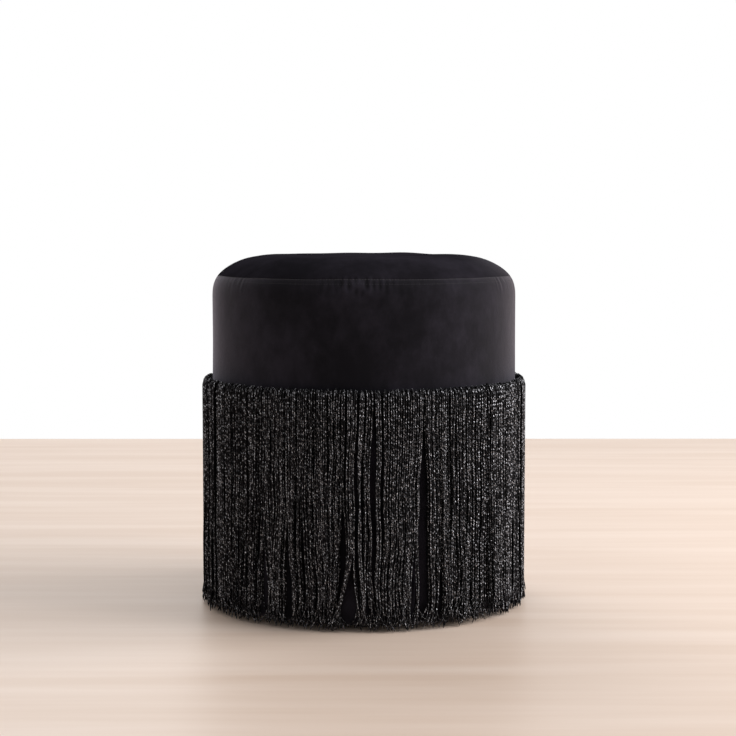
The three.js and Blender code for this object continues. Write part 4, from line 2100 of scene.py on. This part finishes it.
class HangingStrands(GrowingTree):
    """The tree that hangs one row of strands, from their roots over the roll and down to the hem."""

    def __init__(self, fringe: Fringe) -> None:
        """Builds the tree.

        Args:
            fringe: the fringe that the strands belong to.
        """
        super().__init__("hanging strands")
        self.fringe = fringe
        self.rings = fringe.roll_rings + fringe.drop_rings
        count, self.seed = self.takes(SocketKind.COUNT, "Strands", "Seed")
        first_turn, self.hang_radius = self.takes(SocketKind.LENGTH, "First turn", "Hang radius")
        self.roll_height, hem_height = self.takes(SocketKind.LENGTH, "Roll height", "Hem height")
        (self.cord_width,) = self.takes(SocketKind.LENGTH, "Cord width")
        (material,) = self.takes(SocketKind.MATERIAL, "Material")
        mesh = self.repeated(self.strip(), count, "strand")
        self.strand = self.stored("strand", "INT")
        self.around, self.along = self.stored("around"), self.stored("along")

        # Where each ring is between root, roll and tip
        roll_share = fringe.roll_rings / self.rings
        self.in_roll = (self.along / roll_share).within_one()
        in_drop = ((self.along - roll_share) / (1 - roll_share)).within_one()
        self.fall = 1 - (1 - in_drop) ** fringe.tip_crowding
        self.tip = self.fall.eased(*fringe.tip_span)
        self.turn = first_turn + (self.strand + MIDDLE) / count * QUARTER_TURN
        trimmed = self.own(Draw.TRIM)
        hem = hem_height + trimmed * trimmed * fringe.hem_stagger
        self.height = fringe.root_height - self.fall * (fringe.root_height - hem)
        self.is_stray = self.own(Draw.STRAY) > (1 - 2 * fringe.stray_share)
        self.give(self.mapped(mesh), self.corded(), material)

    def strip(self) -> Value:
        """Makes the flat strip that is rolled up and bent into each strand.

        Returns:
            The strip, with how far round and along the strand each point is.
        """
        corners = {"Vertices X": self.fringe.cord_sides + 1, "Vertices Y": self.rings + 1}
        inputs = {"Size X": 1.0, "Size Y": 1.0, **corners}
        strip = self.value("GeometryNodeMeshGrid", inputs, output="Mesh")
        across, deep, _ = self.parts(self.value("GeometryNodeInputPosition"))
        strip = self.store(strip, "around", across + MIDDLE)
        return self.store(strip, "along", deep + MIDDLE)

    def own(self, draw: Draw) -> Value:
        """Draws one of each strand's own random numbers, from minus one to one."""
        return self.chance(self.strand, self.seed, draw.value)

    def bundled(self) -> tuple[Value, Value]:
        """Draws the strands together in bundles, which lean and swing as one.

        Returns:
            How far each ring moves round the body, and outwards.
        """
        fringe, fall = self.fringe, self.fall
        ring_place = self.joined(self.turn.cosine(), self.turn.sine(), 0.0)
        wander = fringe.bundle_wander.read(self, ring_place) - MIDDLE
        aside, swell = 0.0, 0.0
        for bundling in fringe.bundlings:
            phase = self.turn * (bundling.bundles / FULL_TURN) + wander * bundling.wander
            bundle = phase.whole() % bundling.bundles
            off = phase.fraction() - MIDDLE
            spread = bundling.hem_pull_share - bundling.top_pull_share
            own = 1 + self.chance(bundle, 0, bundling.salt) * bundling.pull_spread_share
            pull = (bundling.top_pull_share + fall * spread) * own
            aside = aside - off * pull * self.hang_radius * (FULL_TURN / bundling.bundles)
            leaning = self.chance(bundle, 0, bundling.salt + 1) * bundling.lean
            aside = aside + leaning * fall * fall
            column = bundle * fringe.bundle_wave_step
            wave_place = self.joined(column, float(bundling.salt), self.height)
            wave = (fringe.bundle_waves.read(self, wave_place) - MIDDLE) * bundling.wave
            aside = aside + wave * fall.eased(*fringe.bundle_wave_span)
            bulge = MIDDLE - (2 * off) * (2 * off)
            swell = swell + bulge * bundling.swell * self.in_roll
        return aside, swell

    def strayed(self) -> tuple[Value, Value]:
        """Sets each strand a little apart from the next, and a few of them well apart.

        Returns:
            How far each ring moves round the body, and outwards.
        """
        fringe, fall, stray = self.fringe, self.fall, self.is_stray
        column, row = self.strand * fringe.wave_strand_step, self.seed * fringe.wave_seed_step
        wave_place = self.joined(column, row, self.height)
        wave = (fringe.waves.read(self, wave_place) - MIDDLE) * fringe.wave
        aside = wave * fall.eased(*fringe.wave_span) * (1 + fringe.stray_wave_gain * stray)
        aside = aside + self.own(Draw.LEAN) * (fringe.lean + stray * fringe.stray_lean) * fall
        hook = self.own(Draw.TIP_HOOK) * self.tip**fringe.tip_hook_power * fringe.tip_hook
        kick = self.own(Draw.TIP_KICK) * self.tip * self.tip * fringe.tip_kick
        at_root = 1 - self.in_roll.eased(*fringe.root_lean_span)
        aside = aside + hook + kick + self.own(Draw.ROOT_LEAN) * fringe.root_lean * at_root
        swell = self.own(Draw.DEPTH) * fringe.depth_jitter * self.in_roll
        bow = fringe.stray_bow * fall.eased(*fringe.stray_bow_span)
        swell = swell + stray * (fringe.stray_out * self.in_roll + bow)
        flare = self.own(Draw.TIP_OUT) + fringe.tip_out_lead
        return aside, swell + flare * self.tip * self.tip * fringe.tip_out

    def parted(self) -> Value:
        """Pushes the strands aside where a parting opens.

        Returns:
            How far each ring moves round the body.
        """
        aside = 0.0
        for parting in self.fringe.partings:
            off = (self.turn - math.radians(parting.degrees)).wrapped(FULL_TURN) * self.hang_radius
            reach = (off.size() / -self.fringe.parting_reach).exponential()
            opened = 1 - self.height.eased(parting.full_height, parting.start_height)
            aside = aside + off.sign() * reach * opened * (parting.width / 2)
        return aside

    def corded(self) -> Value:
        """Lays the cord's own section round each strand's line.

        Returns:
            Where each point goes.
        """
        fringe = self.fringe
        bundled, bundle_swell = self.bundled()
        strayed, stray_swell = self.strayed()
        turn = self.turn + (bundled + strayed + self.parted()) / self.hang_radius
        roll_turn = (1 - self.in_roll) * HALF_TURN
        roll_reach = (self.hang_radius - fringe.root_radius) / 2
        radius = fringe.root_radius + roll_reach * (1 + roll_turn.cosine())
        radius = (radius + bundle_swell + stray_swell).at_least(fringe.body_clearance_radius)
        rolled = 1 + self.own(Draw.ROLL) * fringe.roll_unevenness_share
        rolled = rolled + fringe.stray_roll_share * self.is_stray
        height = self.height + self.roll_height * rolled * roll_turn.sine()
        fullness = 1 + self.own(Draw.FULLNESS) * fringe.cord_width_spread_share
        fullness = fullness - self.tip * fringe.tip_thinning_share
        from_root, from_tip = self.along * self.rings, (1 - self.along) * self.rings
        closing = (from_root.within_one() * from_tip.within_one()) ** fringe.tip_rounding
        half_width = self.cord_width / 2 * fullness * closing
        section_turn = self.around * FULL_TURN - QUARTER_TURN
        out, aside = half_width * section_turn.sine(), half_width * section_turn.cosine()
        radius = radius + out * roll_turn.cosine()
        return self.joined(
            radius * turn.cosine() - aside * turn.sine(),
            radius * turn.sine() + aside * turn.cosine(),
            (height + out * roll_turn.sine()).at_least(fringe.floor_clearance),
        )

    def mapped(self, mesh: Value) -> Value:
        """Lays every strand on one of the map's columns.

        Args:
            mesh: the strands.

        Returns:
            The strands with their map.
        """
        fringe, finish = self.fringe, self.fringe.finish
        column = (self.strand + self.seed * fringe.map_column_step) % finish.columns
        inside = self.around * (1 - 2 * finish.column_margin) + finish.column_margin
        length = self.in_roll * fringe.roll_length + self.fall * fringe.root_height
        spot = self.joined((column + inside) / finish.columns, length / finish.map_length, 0.0)
        return self.store(mesh, BAKE_MAP, spot, "FLOAT2", "CORNER")


@dataclass
class Carcass:
    """The boards, struts, drum, fasteners and glides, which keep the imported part's own shapes."""

    finishes: dict[str, Finish] = field(
        default_factory=lambda: {
            "plywood": Plywood(),
            "hardboard": Hardboard(),
            "pine": Pine(),
            "steel": ZincSteel(),
            "glide_plastic": GlidePlastic(),
        }
    )

    def build(self, frame: dict) -> None:
        """Dresses every hard node by its material slot.

        Args:
            frame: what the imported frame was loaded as.
        """
        materials = {slot: finish.material() for slot, finish in self.finishes.items()}
        for part in frame["record"]["subparts"]:
            slot, name = part["material_slot"], part["node"]
            if slot in materials:
                frame["nodes"][name].material_slots[0].material = materials[slot]
                log.info("%s: dressed as %s", name, slot)


@dataclass
class Studio:
    """The floor, the light and the camera."""

    floor: PaleFloor = field(default_factory=PaleFloor)
    floor_reach: float = 1.48
    floor_thickness: float = 0.02
    floor_corners: int = 4
    background: Colour = (1.0, 1.0, 1.0, 1)
    surroundings: float = 0.42
    key_place: tuple[float, float, float] = (2.2, -0.2, 1.4)
    key_size: float = 2.2
    key_power: float = 76.0
    window_place: tuple[float, float, float] = (-0.9, 2.1, 2.2)
    window_size: float = 1.8
    window_power: float = 28.0
    aim_height: float = 0.22
    camera_distance: float = 2.043
    camera_height: float = 0.443
    camera_pitch: float = math.radians(4.87)
    camera_yaw: float = math.radians(0.133)
    focal_length_mm: float = 86.33

    def lay_floor(self) -> None:
        """Makes the floor."""
        corner, depth = self.floor_reach * math.sqrt(2), self.floor_thickness
        section = [(0.0, -depth), (corner, -depth), (corner, 0.0), (0.0, 0.0)]
        mesh = turned("studio_floor", section, self.floor_corners, None, QUARTER_TURN / 2)
        mesh.materials.append(self.floor.material())
        for face in mesh.polygons:
            face.use_smooth = False
        new_piece("studio_floor", mesh)

    def light_up(self) -> None:
        """Sets up the pale surroundings and two soft lamps."""
        world = bpy.data.worlds.new("pale_surroundings")
        bpy.context.scene.world = world
        world.use_nodes = True
        tree = Tree(world.node_tree)
        path = tree.node("ShaderNodeLightPath")
        in_view = 0.0
        for name in ("Is Camera Ray", "Is Glossy Ray", "Is Transmission Ray"):
            in_view = Value(tree, tree.socket(path.outputs, name)).at_least(in_view)
        strength = self.surroundings + in_view * (1 - self.surroundings)
        inputs = {"Color": self.background, "Strength": strength}
        sky = tree.value("ShaderNodeBackground", inputs)
        tree.node("ShaderNodeOutputWorld", {"Surface": sky})
        self.lamp("key_light", self.key_place, self.key_size, self.key_power)
        self.lamp("window_light", self.window_place, self.window_size, self.window_power)

    def lamp(self, name: str, place: tuple[float, float, float], size: float, power: float) -> None:
        """Adds a soft square lamp that faces the object.

        Args:
            name: its name.
            place: where it stands.
            size: how wide it is.
            power: its power in watts.
        """
        data = bpy.data.lights.new(name, "AREA")
        data.shape = "SQUARE"
        data.size = size
        data.energy = power
        lamp = bpy.data.objects.new(name, data)
        across, deep, high = place
        tilt = math.atan2(math.hypot(across, deep), high - self.aim_height)
        lamp.location = place
        lamp.rotation_euler = (tilt, 0.0, math.atan2(deep, across) + QUARTER_TURN)
        bpy.context.scene.collection.objects.link(lamp)

    def place_camera(self) -> None:
        """Sets up the camera at the photograph's viewing angle."""
        data = bpy.data.cameras.new("photo_camera")
        data.lens = self.focal_length_mm
        camera = bpy.data.objects.new("photo_camera", data)
        camera.location = (0.0, -self.camera_distance, self.camera_height)
        camera.rotation_euler = (QUARTER_TURN - self.camera_pitch, 0.0, -self.camera_yaw)
        bpy.context.scene.collection.objects.link(camera)
        bpy.context.scene.camera = camera

    def build(self) -> None:
        """Sets up the floor, the light and the camera."""
        self.place_camera()
        self.lay_floor()
        self.light_up()
        bpy.context.scene.view_settings.view_transform = "Standard"


def main() -> None:
    """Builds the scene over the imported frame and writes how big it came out."""
    logging.basicConfig(level=logging.INFO, format="%(message)s")
    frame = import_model()
    cover = VelvetCover()
    cover.skin.settle()
    Studio().build()
    Carcass().build(frame)
    Padding(cover).build()
    cover.build()
    SeamStitching(cover).build()
    DustCover().build()
    Fringe().build()


if __name__ == "__main__":
    main()
